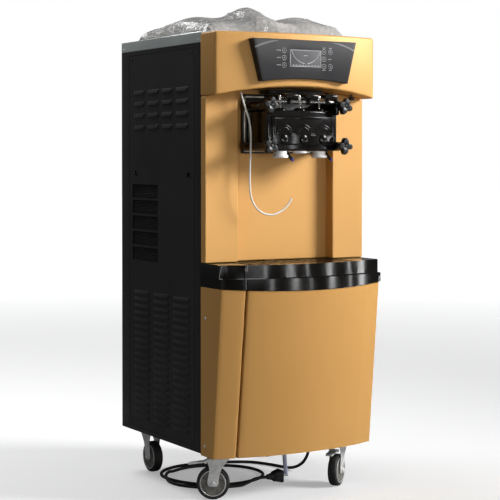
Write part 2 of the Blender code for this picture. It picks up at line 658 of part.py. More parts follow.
def casters():
    for place, (x, y, turn) in CASTERS.items():
        at = (x, y, 0.0)
        trail = CASTER_TRAIL
        top = FLOOR_GAP - 0.004 - GAP
        fork = rod(f"caster_fork_{place}", (0, 0, top - 0.014), (0, 0, top), 0.0255, ZINC, at=at,
                   turn=turn, sides=20)
        for side in (-1, 1):
            inner, outer = side * 0.0165, side * 0.0190
            leg = [(-0.022, top - 0.012), (0.050, top - 0.012), (0.048, top - 0.026), (trail + 0.011, 0.052),
                   (trail + 0.009, 0.040), (trail - 0.009, 0.040), (trail - 0.011, 0.052)]
            join(fork, prism(f"leg_{place}_{side}", leg, min(inner, outer), max(inner, outer), at=at,
                             turn=turn))
        join(fork, box(f"crown_{place}", (-0.022, -0.018, top - 0.0145), (0.040, 0.018, top - 0.0115),
                       at=at, turn=turn))
        join(fork, rod(f"axle_{place}", (trail, -0.0225, WHEEL_RADIUS), (trail, 0.0225, WHEEL_RADIUS), 0.004,
                       at=at, turn=turn, sides=10))
        angle = math.radians(turn)
        centre = (x + trail * math.cos(angle), y + trail * math.sin(angle), WHEEL_RADIUS)
        rim = WHEEL_RADIUS / math.cos(math.pi / WHEEL_SIDES)
        profile = [(rim - 0.004, 0.0135), (rim, 0.0095), (rim, -0.0095), (rim - 0.004, -0.0135),
                   (0.010, -0.0135), (0.0045, -0.0135), (0.0045, 0.0135)]
        turned(f"caster_wheel_{place}", profile, RUBBER, at=centre, axis="Y", turn=turn, steps=WHEEL_SIDES)
        if place.startswith("front"):
            pivot = Vector((0.047, 0.0, 0.1085))
            spun = Matrix.Rotation(angle, 4, "Z") @ pivot
            hinge = (x + spun.x, y + spun.y, pivot.z)
            pedal = rod(f"brake_pedal_{place}", (0, -0.0150, 0), (0, 0.0150, 0), 0.0045, ZINC, at=hinge,
                        turn=turn, sides=10)
            join(pedal, prism(f"tread_{place}", [(0.0, 0.002), (0.014, 0.0), (0.036, -0.004), (0.0500,
                                                                                               -0.0055),
                                                 (0.0500, -0.0090), (0.034, -0.0080), (0.012, -0.0035), (0.0, -0.002)],
                              -0.0115, 0.0115, at=hinge, turn=turn))


def freezing_system():
    """The two freezing cylinders with their beaters, and the gear motor behind them."""
    front, rear = RECESS_FLOOR + 0.004, 0.120
    for label, side in (("left", -1), ("right", 1)):
        x = side * VALVE_PITCH
        barrel = rod(f"freezing_cylinder_{label}", (x, front, CYLINDER_Z), (x, rear, CYLINDER_Z),
                     0.048, STEEL, sides=24)
        cut(barrel, rod(f"barrel_bore_{label}", (x, front - 0.01, CYLINDER_Z), (x, rear - 0.003,
                                                                                CYLINDER_Z), 0.043,
                        sides=24))
        cut(barrel, rod(f"shaft_bore_{label}", (x, rear - 0.01, CYLINDER_Z), (x, rear + 0.01,
                                                                              CYLINDER_Z), 0.0085,
                        sides=12))
        beater = rod(f"beater_{label}", (0, front + 0.006, 0), (0, rear + 0.024, 0), 0.0075, WHITE,
                     at=(x, 0, CYLINDER_Z), sides=12)
        join(beater, box(f"blade_flat_{label}", (-0.039, front + 0.010, -0.0025), (0.039, rear - 0.010,
                                                                                   0.0025),
                         at=(x, 0, CYLINDER_Z)))
        join(beater, box(f"blade_upright_{label}", (-0.0025, front + 0.012, -0.038), (0.0025,
                                                                                      rear - 0.012, 0.038),
                         at=(x, 0, CYLINDER_Z)))
    motor = box("gear_motor", (-0.115, 0.150, 1.000), (0.115, 0.205, 1.115), ALUMINIUM)
    join(motor, rod("motor_can", (0, 0.200, CYLINDER_Z), (0, 0.325, CYLINDER_Z), 0.052, sides=20))


def cooling_system():
    """The compressor on the base, and the condenser and its fan behind the left louvres."""
    x, y, z = 0.115, 0.155, FLOOR_GAP + 0.0035
    profile = [(0.0, 0.235), (0.040, 0.232), (0.068, 0.215), (0.078, 0.185), (0.078, 0.050), (0.070, 0.022),
               (0.050, 0.012), (0.085, 0.010), (0.085, 0.0), (0.0, 0.0)]
    turned("compressor", profile, BLACK_PAINT, at=(x, y, z), steps=20)
    condenser = box("condenser", (-0.242, -0.080, 0.190), (-0.182, 0.260, 0.560), ALUMINIUM)
    for i in range(5):
        low = 0.215 + 0.066 * i
        cut(condenser, box(f"fin_gap_{i}", (-0.30, -0.060, low), (-0.10, 0.240, low + 0.050)))
    hub = rod("condenser_fan", (-0.014, 0, 0), (0.014, 0, 0), 0.026, BLACK_MATTE, at=(-0.150, 0.090,
                                                                                      0.375), sides=16)
    for i in range(4):
        blade = box(f"fan_blade_{i}", (-0.0015, 0.015, -0.026), (0.0015, 0.135, 0.026), at=(-0.150,
                                                                                            0.090, 0.375))
        turn = Matrix.Rotation(math.pi / 2 * i, 4, "X") @ Matrix.Rotation(math.radians(25), 4, "Y")
        blade.rotation_euler = turn.to_euler()
        join(hub, blade)


def cords():
    """The mains lead with its gland and plug, the head's drip tube and the drain stub."""
    x, y, low = CORD_ROUTE[0]
    collar = [(0.0100, FLOOR_GAP + 0.012), (0.0100, FLOOR_GAP - 0.0005), (0.0135, FLOOR_GAP - 0.0005),
              (0.0135, FLOOR_GAP - 0.008), (0.0080, FLOOR_GAP - 0.010), (0.0060, low + 0.0003),
              (0.0, low + 0.0003)]
    collar.insert(0, (0.0, FLOOR_GAP + 0.012))
    turned("cord_gland", collar, RUBBER, at=(x, y, 0.0), steps=16)
    hose("power_cord", smooth_route(CORD_ROUTE, CORD_POINTS), CORD_DIAMETER, RUBBER, 2)

    x, y, z = CORD_ROUTE[-1]
    start = x + 0.0006
    plug = rod("power_plug", (0.0, 0, 0), (0.022, 0, 0), 0.0075, RUBBER, at=(start, y, z), sides=12,
               end_radius=0.012)
    join(plug, box("plug_body", (0.020, -0.021, -0.0215), (0.052, 0.021, 0.0200), at=(start, y, z)))
    for side in (-1, 1):
        join(plug, box(f"plug_pin_{side}", (0.050, side * 0.0110 - 0.003, -0.001), (0.070,
                                                                                    side * 0.0110 + 0.003, 0.001),
                       at=(start, y, z)))

    hose("drip_tube", smooth_route(TUBE_ROUTE, 44), TUBE_DIAMETER, CLEAR_TUBE, 2)
    place = (*DRAIN_PLACE, FLOOR_GAP - 0.0855)
    drain = rod("drain_stub", (0, 0, 0.0), (0, 0, 0.085), 0.0060, BLUE_GREY, at=place, sides=12)
    cut(drain, rod("drain_bore", (0, 0, -0.01), (0, 0, 0.080), 0.0042, at=place, sides=12))


base_and_frame()
cabinet_sheets()
top_deck()
film_cover()
header()
column()
dispensing_head()
nozzles()
drip_tray()
lower_front()
casters()
freezing_system()
cooling_system()
cords()
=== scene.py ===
import math
import random

import bpy
from mathutils import Matrix, Vector


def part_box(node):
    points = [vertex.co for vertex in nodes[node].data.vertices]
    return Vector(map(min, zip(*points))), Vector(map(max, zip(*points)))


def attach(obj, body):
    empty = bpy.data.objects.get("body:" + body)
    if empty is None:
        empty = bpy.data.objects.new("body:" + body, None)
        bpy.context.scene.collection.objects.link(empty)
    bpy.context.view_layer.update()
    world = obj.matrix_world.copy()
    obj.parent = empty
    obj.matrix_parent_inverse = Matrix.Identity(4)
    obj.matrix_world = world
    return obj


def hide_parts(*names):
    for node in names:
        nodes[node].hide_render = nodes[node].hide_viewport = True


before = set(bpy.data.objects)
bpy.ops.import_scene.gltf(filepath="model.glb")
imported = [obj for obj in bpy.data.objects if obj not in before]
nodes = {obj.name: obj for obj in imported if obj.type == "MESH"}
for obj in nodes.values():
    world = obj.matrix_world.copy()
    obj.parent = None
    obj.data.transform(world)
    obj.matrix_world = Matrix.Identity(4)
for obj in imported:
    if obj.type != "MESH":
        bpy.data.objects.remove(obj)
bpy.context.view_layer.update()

# The room. The machine stands on a pale floor that runs out of sight, with a tall soft light
# in front of it to the right, weak ones low in front and to the left, and one over its back.
def soft_light(name, place, aim, width, height, power, spread=180.0):
    bpy.ops.object.light_add(type="AREA", location=place)
    lamp = bpy.context.object
    lamp.name = name
    lamp.rotation_euler = (Vector(aim) - Vector(place)).to_track_quat("-Z", "Y").to_euler()
    lamp.data.shape = "RECTANGLE"
    lamp.data.size = width
    lamp.data.size_y = height
    lamp.data.energy = power
    lamp.data.spread = math.radians(spread)


soft_light("window_right", (3.9, -3.2, 3.0), (0, -0.2, 1.38), 2.0, 1.6, 44.0, 53.0)
soft_light("low_front", (-0.5, -4.7, 0.9), (0, -0.3, 0.95), 1.2, 0.8, 26.0)
for turn, wide in ((1, 0.1), (16.0, 0.3), (27.0, 0.08), (43.0, 0.34), (58.0, 0.12), (68.0, 0.4)):
    strip_at = (5.0 * math.sin(math.radians(turn)), -5.0 * math.cos(math.radians(turn)), 0.42)
    soft_light("low_strip", strip_at, (0, -0.3, 0.42), wide, 0.72, 26.0 * wide)
soft_light("window_left", (-3.4, -3.0, 2.4), (0, 0, 0.8), 1.4, 1.4, 4.0)
soft_light("top_back", (-0.6, 1.6, 3.1), (0, 0.1, 1.3), 1.6, 1.2, 45.0)


def node(tree, kind, **values):
    """A shader node with some of its sockets set."""
    made = tree.nodes.new("ShaderNode" + kind)
    for socket, value in values.items():
        made.inputs[socket.replace("_", " ")].default_value = value
    return made


world = bpy.data.worlds.new("pale_room")
bpy.context.scene.world = world
world.use_nodes = True
room = world.node_tree
backdrop = room.nodes["Background"]
backdrop.inputs["Color"].default_value = (1, 1, 1, 1)
around = node(room, "Background", Color=(0.96, 0.98, 1, 1), Strength=0.16)
either = node(room, "MixShader")
room.links.new(node(room, "LightPath").outputs["Is Camera Ray"], either.inputs["Fac"])
room.links.new(around.outputs["Background"], either.inputs[1])
room.links.new(backdrop.outputs["Background"], either.inputs[2])
room.links.new(either.outputs["Shader"], room.nodes["World Output"].inputs["Surface"])

bpy.ops.object.camera_add(location=(-2.3022, -3.9094, 0.9813))
camera = bpy.context.object
camera.rotation_euler = (math.radians(90 - 1.203), 0, math.radians(-30.385))
camera.data.lens = 107.77
camera.data.sensor_width = 36.0
camera.data.shift_y = -0.1213
camera.data.dof.use_dof = False
bpy.context.scene.camera = camera
bpy.context.scene.view_settings.view_transform = "Standard"


def finish(name, colour, roughness, metallic=0, **more):
    """A material with its shader set; more holds the shader's other sockets."""
    made = bpy.data.materials.new(name)
    made.use_nodes = True
    shader = made.node_tree.nodes["Principled BSDF"]
    shader.inputs["Base Color"].default_value = (*colour, 1)
    shader.inputs["Roughness"].default_value = roughness
    shader.inputs["Metallic"].default_value = metallic
    for socket, value in more.items():
        shader.inputs[socket.replace("_", " ")].default_value = value
    return made


def grain(made, kind, scale, stretch=(1, 1, 1)):
    """A noise or cell pattern that stays put on the piece."""
    tree = made.node_tree
    mapping = node(tree, "Mapping", Scale=stretch)
    texture = node(tree, "Tex" + kind, Scale=scale)
    tree.links.new(node(tree, "TexCoord").outputs["Object"], mapping.inputs["Vector"])
    tree.links.new(mapping.outputs["Vector"], texture.inputs["Vector"])
    return texture.outputs["Distance" if kind == "Voronoi" else "Fac"]


def drive(made, pattern, step, entry, result, socket):
    """A pattern, or plain noise of a scale, works on one of the shader's sockets."""
    tree = made.node_tree
    if isinstance(pattern, float):
        pattern = grain(made, "Noise", pattern)
    tree.links.new(pattern, step.inputs[entry])
    tree.links.new(step.outputs[result], tree.nodes["Principled BSDF"].inputs[socket])


def tint(made, pattern, dark, light):
    """The pattern moves the colour between two tones."""
    ramp = node(made.node_tree, "ValToRGB")
    for stop, position, tone in zip(ramp.color_ramp.elements, (0.3, 0.7), (dark, light)):
        stop.position = position
        stop.color = (*tone, 1)
    drive(made, pattern, ramp, "Fac", "Color", "Base Color")


def wear(made, pattern, low, high):
    """The pattern moves the roughness between two values."""
    span = node(made.node_tree, "MapRange", From_Min=0.3, From_Max=0.7, To_Min=low, To_Max=high)
    drive(made, pattern, span, "Value", "Result", "Roughness")


def relief(made, pattern, strength, depth):
    """The pattern stands up from the surface by a depth in metres."""
    bump = node(made.node_tree, "Bump", Strength=strength, Distance=depth)
    drive(made, pattern, bump, "Height", "Normal", "Normal")


FLOOR = finish("pale_self_lit_floor", (0.86, 0.86, 0.86), 0.6)
relief(FLOOR, 60.0, 0.05, 0.001)
cove = FLOOR.node_tree
lit_floor = cove.nodes["Principled BSDF"]
# The floor glows by its own light, weakly close to the machine and more strongly far from it, so that it
# reads as pale; to other surfaces it gives back only a dull grey.
lit_floor.inputs["Emission Color"].default_value = (1, 1, 1, 1)
how_far = node(cove, "VectorMath")
how_far.operation = "LENGTH"
floor_glow_strength = node(cove, "MapRange", From_Min=0.6, From_Max=7.0, To_Min=0.32, To_Max=0.95)
cove.links.new(node(cove, "TexCoord").outputs["Object"], how_far.inputs[0])
cove.links.new(how_far.outputs["Value"], floor_glow_strength.inputs["Value"])
cove.links.new(floor_glow_strength.outputs["Result"], lit_floor.inputs["Emission Strength"])
weak_bounce = node(cove, "BsdfDiffuse", Color=(0.24, 0.24, 0.24, 1))
blend = node(cove, "MixShader")
cove.links.new(node(cove, "LightPath").outputs["Is Camera Ray"], blend.inputs["Fac"])
cove.links.new(weak_bounce.outputs["BSDF"], blend.inputs[1])
cove.links.new(lit_floor.outputs["BSDF"], blend.inputs[2])
cove.links.new(blend.outputs["Shader"], cove.nodes["Material Output"].inputs["Surface"])
bpy.ops.object.select_all(action="DESELECT")
bpy.ops.mesh.primitive_plane_add(size=60.0)
floor = bpy.context.object
floor.name = "floor"
floor.data.materials.append(FLOOR)

# Mains lead: two metres of round black flex. It drops from the base, lies in two
# loose loops between the casters, crosses itself in a low hump and ends in its plug.
RUBBER = finish("black_rubber", (0.018, 0.017, 0.016), 0.62)
tint(RUBBER, 35.0, (0.012, 0.011, 0.011), (0.034, 0.031, 0.029))
relief(RUBBER, 700.0, 0.25, 0.0004)


def flex(name, route, diameter, material):
    """A round flexible line on one smooth curve through the points of its route."""
    curve = bpy.data.curves.new(name, "CURVE")
    curve.dimensions = "3D"
    curve.resolution_u = 8
    curve.bevel_depth = diameter / 2
    curve.bevel_resolution = 5
    curve.use_fill_caps = True
    spline = curve.splines.new("BEZIER")
    spline.bezier_points.add(len(route) - 1)
    lowest = min(place[2] for place in route)
    for i, point in enumerate(spline.bezier_points):
        before, after = Vector(route[max(i - 1, 0)]), Vector(route[min(i + 1, len(route) - 1)])
        pull = (after - before) / 6
        if route[i][2] < lowest + 0.0001:
            pull.z = 0
        point.handle_left_type = "FREE"
        point.handle_right_type = "FREE"
        point.co = route[i]
        point.handle_left = point.co - pull
        point.handle_right = point.co + pull
    curve.materials.append(material)
    line = bpy.data.objects.new(name, curve)
    bpy.context.scene.collection.objects.link(line)
    return line


lead_route = [
    (0.207, 0.006, 0.106), (0.207, 0.007, 0.08), (0.204, 0.014, 0.052),
    (0.196, 0.032, 0.026), (0.183, 0.064, 0.009), (0.17, 0.108, 0.005),
    (0.154, 0.16, 0.005), (0.124, 0.216, 0.005), (0.076, 0.25, 0.005),
    (0.01, 0.272, 0.005), (-0.062, 0.284, 0.005), (-0.125, 0.276, 0.005),
    (-0.178, 0.244, 0.005), (-0.212, 0.196, 0.005), (-0.222, 0.14, 0.005),
    (-0.212, 0.08, 0.005), (-0.184, 0.024, 0.005), (-0.14, -0.016, 0.005),
    (-0.084, -0.032, 0.005), (-0.026, -0.024, 0.005), (0.026, 0.002, 0.005),
    (0.062, 0.044, 0.005), (0.076, 0.096, 0.005), (0.07, 0.15, 0.005),
    (0.04, 0.2, 0.005), (-0.012, 0.236, 0.005), (-0.07, 0.25, 0.005),
    (-0.124, 0.238, 0.005), (-0.166, 0.208, 0.008), (-0.2, 0.17, 0.016),
    (-0.232, 0.126, 0.016), (-0.243, 0.08, 0.008), (-0.23, 0.028, 0.005),
    (-0.196, -0.022, 0.005), (-0.142, -0.052, 0.005), (-0.084, -0.062, 0.005),
    (-0.058, -0.065, 0.011), (-0.036, -0.066, 0.019), (-0.016, -0.066, 0.0215),
    (0.008, -0.066, 0.0215),
]
lead = flex("mains_lead", lead_route, 0.0095, RUBBER)
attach(lead, "cabinet")
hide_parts("power_cord")

# Strain relief: a moulded rubber sleeve with ribs, pushed up into the hole in the base pan.
# Its collar sits under the pan and its nose tapers down to the lead.
def settle():
    """The selected piece's place, turn and size go into its mesh."""
    bpy.ops.object.transform_apply(location=True, rotation=True, scale=True)


def smooth():
    bpy.ops.object.shade_smooth_by_angle(angle=math.radians(40))


def lathe(name, rings, place, steps=32, turn=(0, 0, 0), caps=True):
    """A turned piece: a ring extruded and resized step by step along its axis."""
    bpy.ops.object.select_all(action="DESELECT")
    radius, height = rings[0]
    bpy.ops.mesh.primitive_circle_add(vertices=steps, radius=radius, fill_type="NGON" if caps
        else "NOTHING")
    made = bpy.context.object
    made.name = name
    bpy.ops.object.mode_set(mode="EDIT")
    bpy.ops.mesh.select_mode(type="VERT")
    bpy.ops.mesh.select_all(action="SELECT")
    bpy.ops.transform.translate(value=(0, 0, height))
    for ring, (wide, high) in enumerate(rings[1:]):
        bpy.ops.mesh.extrude_region_move(TRANSFORM_OT_translate={"value": (0, 0, high - height)})
        bpy.ops.transform.resize(value=(wide / radius, wide / radius, 1), center_override=(0, 0, high))
        radius, height = wide, high
    bpy.ops.mesh.select_all(action="SELECT")
    bpy.ops.mesh.remove_doubles(threshold=0.00001)
    bpy.ops.mesh.normals_make_consistent(inside=False)
    bpy.ops.object.mode_set(mode="OBJECT")
    made.rotation_euler = turn
    made.location = place
    settle()
    smooth()
    return made


gland_low, gland_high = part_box("cord_gland")
gland_rings = [(0.01, gland_high.z), (0.01, gland_high.z - 0.0125), (0.0135, gland_high.z - 0.013),
    (0.0135, gland_high.z - 0.0195), (0.0125, gland_high.z - 0.0205)]
for rib in range(4):
    top = gland_high.z - 0.0215 - rib * 0.0046
    wide = 0.0098 - rib * 0.0007
    gland_rings += [(wide - 0.0012, top), (wide, top - 0.0008), (wide, top - 0.0026),
        (wide - 0.0014, top - 0.0034)]
gland_rings.append((0.0056, gland_low.z))
gland = lathe("strain_relief", gland_rings, (0.207, 0.006, 0))
gland.data.materials.append(RUBBER)
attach(gland, "cabinet")
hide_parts("cord_gland")

# Plug: a moulded rubber body with finger grooves and two flat bright pins, lying on the
# floor where the lead ends.
CHROME = finish("bright_chrome", (0.88, 0.87, 0.85), 0.2, 0.8)
wear(CHROME, 90.0, 0.14, 0.28)


def block(name, low, high, rounding=0, segments=3):
    """A cuboid blank between two corners, with its edges rounded if asked."""
    bpy.ops.object.select_all(action="DESELECT")
    middle = [(a + b) / 2 for a, b in zip(low, high)]
    bpy.ops.mesh.primitive_cube_add(size=1, location=middle,
        scale=[abs(b - a) for a, b in zip(low, high)])
    made = bpy.context.object
    made.name = name
    settle()
    return round_edges(made, rounding, segments) if rounding else made


def pick(piece):
    """Only this piece is selected."""
    bpy.ops.object.select_all(action="DESELECT")
    piece.select_set(True)
    bpy.context.view_layer.objects.active = piece


def corners(piece):
    """The places of the piece's corners, to be moved."""
    return [vertex.co for vertex in piece.data.vertices]


def work(piece, kind, **settings):
    """Give the piece a modifier and apply it."""
    pick(piece)
    step = piece.modifiers.new(kind.lower(), kind)
    for setting, value in settings.items():
        setattr(step, setting, value)
    bpy.ops.object.modifier_apply(modifier=step.name)
    return piece


def round_edges(piece, width, segments=3, angle=35.0):
    """Round the edges that are sharper than the angle, and shade the piece smooth."""
    work(piece, "BEVEL", width=width, segments=segments, limit_method="ANGLE",
        angle_limit=math.radians(angle), use_clamp_overlap=True)
    smooth()
    return piece


def unite(name, pieces):
    """Several shapes as one piece."""
    bpy.ops.object.select_all(action="DESELECT")
    for piece in pieces:
        piece.select_set(True)
    bpy.context.view_layer.objects.active = pieces[0]
    if len(pieces) > 1:
        bpy.ops.object.join()
    pieces[0].name = name
    return pieces[0]


def done(piece, material, body, slot_name, *replaced):
    """The piece gets its material, rides on its body and stands for its CAD nodes."""
    if material:
        piece.data.materials.clear()
        piece.data.materials.append(material)
    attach(piece, body)
    if replaced:
        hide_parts(*replaced)
    return piece


plug_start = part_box("power_plug")[0].x
plug_y, plug_z = -0.066, 0.0215
sideways = (0, math.pi / 2, 0)
sleeve = lathe("plug_sleeve", [(0.0052, 0), (0.0076, 0.002), (0.0076, 0.006), (0.0084, 0.007),
    (0.0092, 0.013), (0.0104, 0.014), (0.0118, 0.022)], (plug_start, plug_y, plug_z), 28, sideways)
body = block("plug_body", (plug_start + 0.02, plug_y - 0.0205, 0.0012),
    (plug_start + 0.052, plug_y + 0.0205, 0.041))
for at in corners(body):
    if at.x < plug_start + 0.03:
        at.y = plug_y + (at.y - plug_y) * 0.62
        at.z = plug_z + (at.z - plug_z) * 0.66
round_edges(body, 0.006, 5)
grips = []
for groove in range(3):
    grip = lathe("plug_grip", [(0.015, 0), (0.0165, 0.0012), (0.015, 0.0024)],
        (plug_start + 0.024 + groove * 0.006, plug_y, plug_z), 28, sideways)
    grips.append(grip)
plug = done(unite("mains_plug", [body, sleeve, *grips]), RUBBER, "cabinet", "rubber", "power_plug")
pins = []
for side in (-1, 1):
    across = plug_y + side * 0.011
    pins.append(block("pin", (plug_start + 0.05, across - 0.003, 0.0206),
        (plug_start + 0.07, across + 0.003, 0.0224), 0.0006, 2))
plug_pins = done(unite("plug_pins", pins), CHROME, "cabinet", "chrome")

# Drip tube: milky soft hose of a few millimetres, clipped under the header beside the head.
# It hangs down in front of the column and curls up at its free end.
MILKY = finish("milky_hose", (0.86, 0.85, 0.8), 0.24, Alpha=0.88)
tint(MILKY, 40.0, (0.78, 0.76, 0.7), (0.92, 0.91, 0.87))
tube_route = [
    (-0.171, -0.225, 1.168), (-0.167, -0.228, 1.145), (-0.158, -0.232, 1.115),
    (-0.15, -0.235, 1.085), (-0.146, -0.236, 1.05), (-0.146, -0.236, 1.01),
    (-0.148, -0.236, 0.96), (-0.149, -0.236, 0.91), (-0.145, -0.236, 0.872),
    (-0.13, -0.236, 0.842), (-0.104, -0.236, 0.823), (-0.074, -0.236, 0.818),
    (-0.042, -0.236, 0.829), (-0.022, -0.236, 0.845), (-0.009, -0.236, 0.864),
]
drip_tube = flex("milky_drip_tube", tube_route, 0.0055, MILKY)
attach(drip_tube, "cabinet")
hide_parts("drip_tube")

# Drain stub: a short end of pale blue-grey hose that comes out of the base pan behind the
# door. It hangs down with a slight bend, and its bore shows at the cut end.
DRAIN = finish("blue_grey_hose", (0.42, 0.45, 0.6), 0.35)
tint(DRAIN, 50.0, (0.36, 0.39, 0.54), (0.52, 0.55, 0.7))
drain_low, drain_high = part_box("drain_stub")
drain_centre = (drain_low + drain_high) / 2
stub_rings = [(0.0042, drain_low.z + 0.012), (0.0042, drain_low.z), (0.006, drain_low.z),
    (0.0062, drain_low.z + 0.003), (0.006, drain_low.z + 0.006)]
for step in range(8):
    stub_rings.append((0.006, drain_low.z + 0.012 + step * 0.0088))
stub = lathe("drain_hose_stub", stub_rings, (drain_centre.x, drain_centre.y, 0), 24)
for at in corners(stub):
    down = (drain_high.z - at.z) / (drain_high.z - drain_low.z)
    at.x += 0.007 * down * down
done(stub, DRAIN, "cabinet", "drain_hose", "drain_stub")

# Base pan and posts: folded zinc-plated sheet, painted dark underneath. The pan carries the
# compressor, and the posts carry the side panels.
BLACK_STEEL = finish("black_underside", (0.017, 0.017, 0.018), 0.5, 0.2)
wear(BLACK_STEEL, 14.0, 0.38, 0.62)
ZINC = finish("zinc_plate", (0.86, 0.86, 0.85), 0.36, 0.3)
tint(ZINC, grain(ZINC, "Voronoi", 55.0), (0.78, 0.79, 0.78), (0.94, 0.94, 0.93))
wear(ZINC, 120.0, 0.26, 0.44)


def dress(node, material):
    """A frame piece whose shape is right gets its material."""
    nodes[node].data.materials.clear()
    nodes[node].data.materials.append(material)


dress("base_frame", BLACK_STEEL)
dress("cabinet_frame", ZINC)

# Side panels: sheet steel with folded lips and a fine black powder coat. A removable panel is
# let into each, with pressed louvres high and low and a perforated window between them.
BLACK_COAT = finish("black_powder_coat", (0.013, 0.013, 0.012), 0.5, 0, Specular_IOR_Level=0.35)
tint(BLACK_COAT, 5.0, (0.01, 0.01, 0.009), (0.016, 0.016, 0.015))
wear(BLACK_COAT, 9.0, 0.4, 0.52)
relief(BLACK_COAT, 1400.0, 0.22, 0.0003)
# Near-black sheets set just inside the panels behind their openings: painted shade, so that the openings
# look dark.
PAINTED_SHADE = finish("painted_shade_behind_openings", (0.004, 0.004, 0.004), 0.8)
wear(PAINTED_SHADE, 30.0, 0.7, 0.9)

panel_low, panel_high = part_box("left_side_panel")
half = -panel_low.x
hood_reach = 0.0042


def choose(piece, kind, wanted):
    """Select the faces or edges for which wanted(item) is true, and open the piece for editing."""
    pick(piece)
    bpy.ops.object.mode_set(mode="EDIT")
    bpy.ops.mesh.select_mode(type=kind)
    bpy.ops.mesh.select_all(action="DESELECT")
    bpy.ops.object.mode_set(mode="OBJECT")
    for item in piece.data.polygons if kind == "FACE" else piece.data.edges:
        item.select = wanted(item)
    bpy.ops.object.mode_set(mode="EDIT")


def remove_faces(piece, wanted):
    """Delete the faces for which wanted(face) is true."""
    choose(piece, "FACE", wanted)
    bpy.ops.mesh.delete(type="FACE")
    bpy.ops.object.mode_set(mode="OBJECT")


def cut_out(piece, shapes):
    """Take the shapes out of the piece."""
    tool = unite("cutter", shapes)
    work(piece, "BOOLEAN", object=tool, operation="DIFFERENCE", solver="EXACT", use_self=True)
    bpy.data.objects.remove(tool)
    smooth()
    return piece


def hoods(cuts, height, side):
    """Pressed louvres: half domes that open downwards, one over each (from, to, top) slot."""
    made = []
    for near, far, top in cuts:
        hood = block("hood", (side * half - 0.0002 * side, near, top - height),
            (side * (half + hood_reach), far, top))
        for at in corners(hood):
            if abs(at.x) > half + 0.001 and at.z > top - 0.0001:
                at.x = side * (half + 0.0004)
                at.z = top
            if abs(at.x) > half + 0.001:
                at.y += 0.0045 if at.y < (near + far) / 2 else -0.0045
        round_edges(hood, 0.0016, 2, 20)
        made.append(hood)
    return made


catch_places = ((0.257, 0.934), (-0.089, 0.932))
seam_front, seam_back, seam_foot, seam_top = -0.128, 0.297, 0.152, 1.296
upper_columns = [(0.262, 0.194), (0.169, 0.099), (0.076, 0.012), (-0.015, -0.089)]
upper_rows = [1.1875, 1.153, 1.117, 1.081]
lower_columns = [(0.261, 0.162), (0.132, 0.035), (0.004, -0.095)]
lower_rows = [0.575 - 0.02122 * row for row in range(19)]
window_rows = [0.667 + 0.0482 * row for row in range(5)]


def opening(y_one, z_one, y_two, z_two, deep=0.01):
    """A block that goes through the side at x, or into it by less."""
    return block("opening", (x - deep, y_one, z_one), (x + deep, y_two, z_two))


for label, side in (("left", -1), ("right", 1)):
    x = side * half
    skin = block(f"{label}_side_skin", (x, panel_low.y, panel_low.z),
        (x - side * 0.014, panel_high.y, panel_high.z))
    remove_faces(skin, lambda face: face.normal.x * side < -0.5 or abs(face.normal.z) > 0.5)
    round_edges(skin, 0.0022, 3)
    work(skin, "SOLIDIFY", thickness=0.0018, offset=-1)
    openings = [opening(0.104, low, 0.276, low + 0.0405) for low in window_rows]
    for top in upper_rows:
        openings += [opening(far + 0.006, top - 0.0085, near - 0.006, top - 0.0035)
            for near, far in upper_columns]
    for top in lower_rows:
        openings += [opening(far + 0.006, top - 0.0085, near - 0.006, top - 0.004)
            for near, far in lower_columns]
    openings += [opening(y - 0.0011, seam_foot, y + 0.0011, seam_top, 0.001)
        for y in (seam_front, seam_back)]
    openings += [opening(seam_front, z - 0.0011, seam_back, z + 0.0011, 0.001)
        for z in (seam_foot, seam_top)]
    openings += [opening(y - 0.01, z - 0.006, y + 0.01, z + 0.006) for y, z in catch_places]
    cut_out(skin, openings)
    done(skin, BLACK_COAT, "cabinet", "black_paint", f"{label}_side_panel")

    pressed = hoods([(near, far, top) for top in upper_rows for near, far in upper_columns], 0.0125, side)
    pressed += hoods([(near, far, top) for top in lower_rows for near, far in lower_columns], 0.0105,
        side)
    done(unite(f"{label}_louvres", pressed), BLACK_COAT, "cabinet", "black_paint")

    meshes = []
    for low in window_rows:
        bpy.ops.object.select_all(action="DESELECT")
        bpy.ops.mesh.primitive_grid_add(x_subdivisions=38, y_subdivisions=9, size=1)
        lattice = bpy.context.object
        lattice.scale = (0.173, 0.0415, 1)
        lattice.rotation_euler = (math.pi / 2, 0, math.pi / 2)
        lattice.location = (x - side * 0.0045, 0.19, low + 0.02025)
        settle()
        work(lattice, "WIREFRAME", thickness=0.0022, use_even_offset=False)
        meshes.append(lattice)
    done(unite(f"{label}_perforated_window", meshes), BLACK_COAT, "cabinet", "black_paint")
    # Painted shade: a near-black sheet just inside the panel behind the window, the lower louvres and the
    # upper louvres.
    for part, low, high in (("window", 0.64, 0.96), ("louvre", 0.16, 0.605), ("upper", 1.055, 1.205)):
        shade = block(f"{label}_{part}_shade", (x - side * 0.008, -0.118, low),
            (x - side * 0.009, 0.302, high), 0.0003, 1)
        done(shade, PAINTED_SHADE, "cabinet", "black_paint")

    clips = []
    for y, z in catch_places:
        clip = block("clip", (x, y - 0.008, z - 0.0012), (x + side * 0.0035, y + 0.004, z + 0.0012))
        for at in corners(clip):
            at.z += (at.y - y) * 0.9
        clips.append(round_edges(clip, 0.0006, 2))
    for y in (-0.112, 0.281):
        for z in (0.163, 1.285):
            clips.append(lathe("screw", [(0.0012, 0), (0.0014, 0.0008), (0.004, 0.0008), (0.0036, 0.0018),
                (0.0015, 0.0022)], (x, y, z), 16, (0, side * math.pi / 2, 0)))
    done(unite(f"{label}_panel_catches", clips), BLACK_COAT, "cabinet", "black_paint")

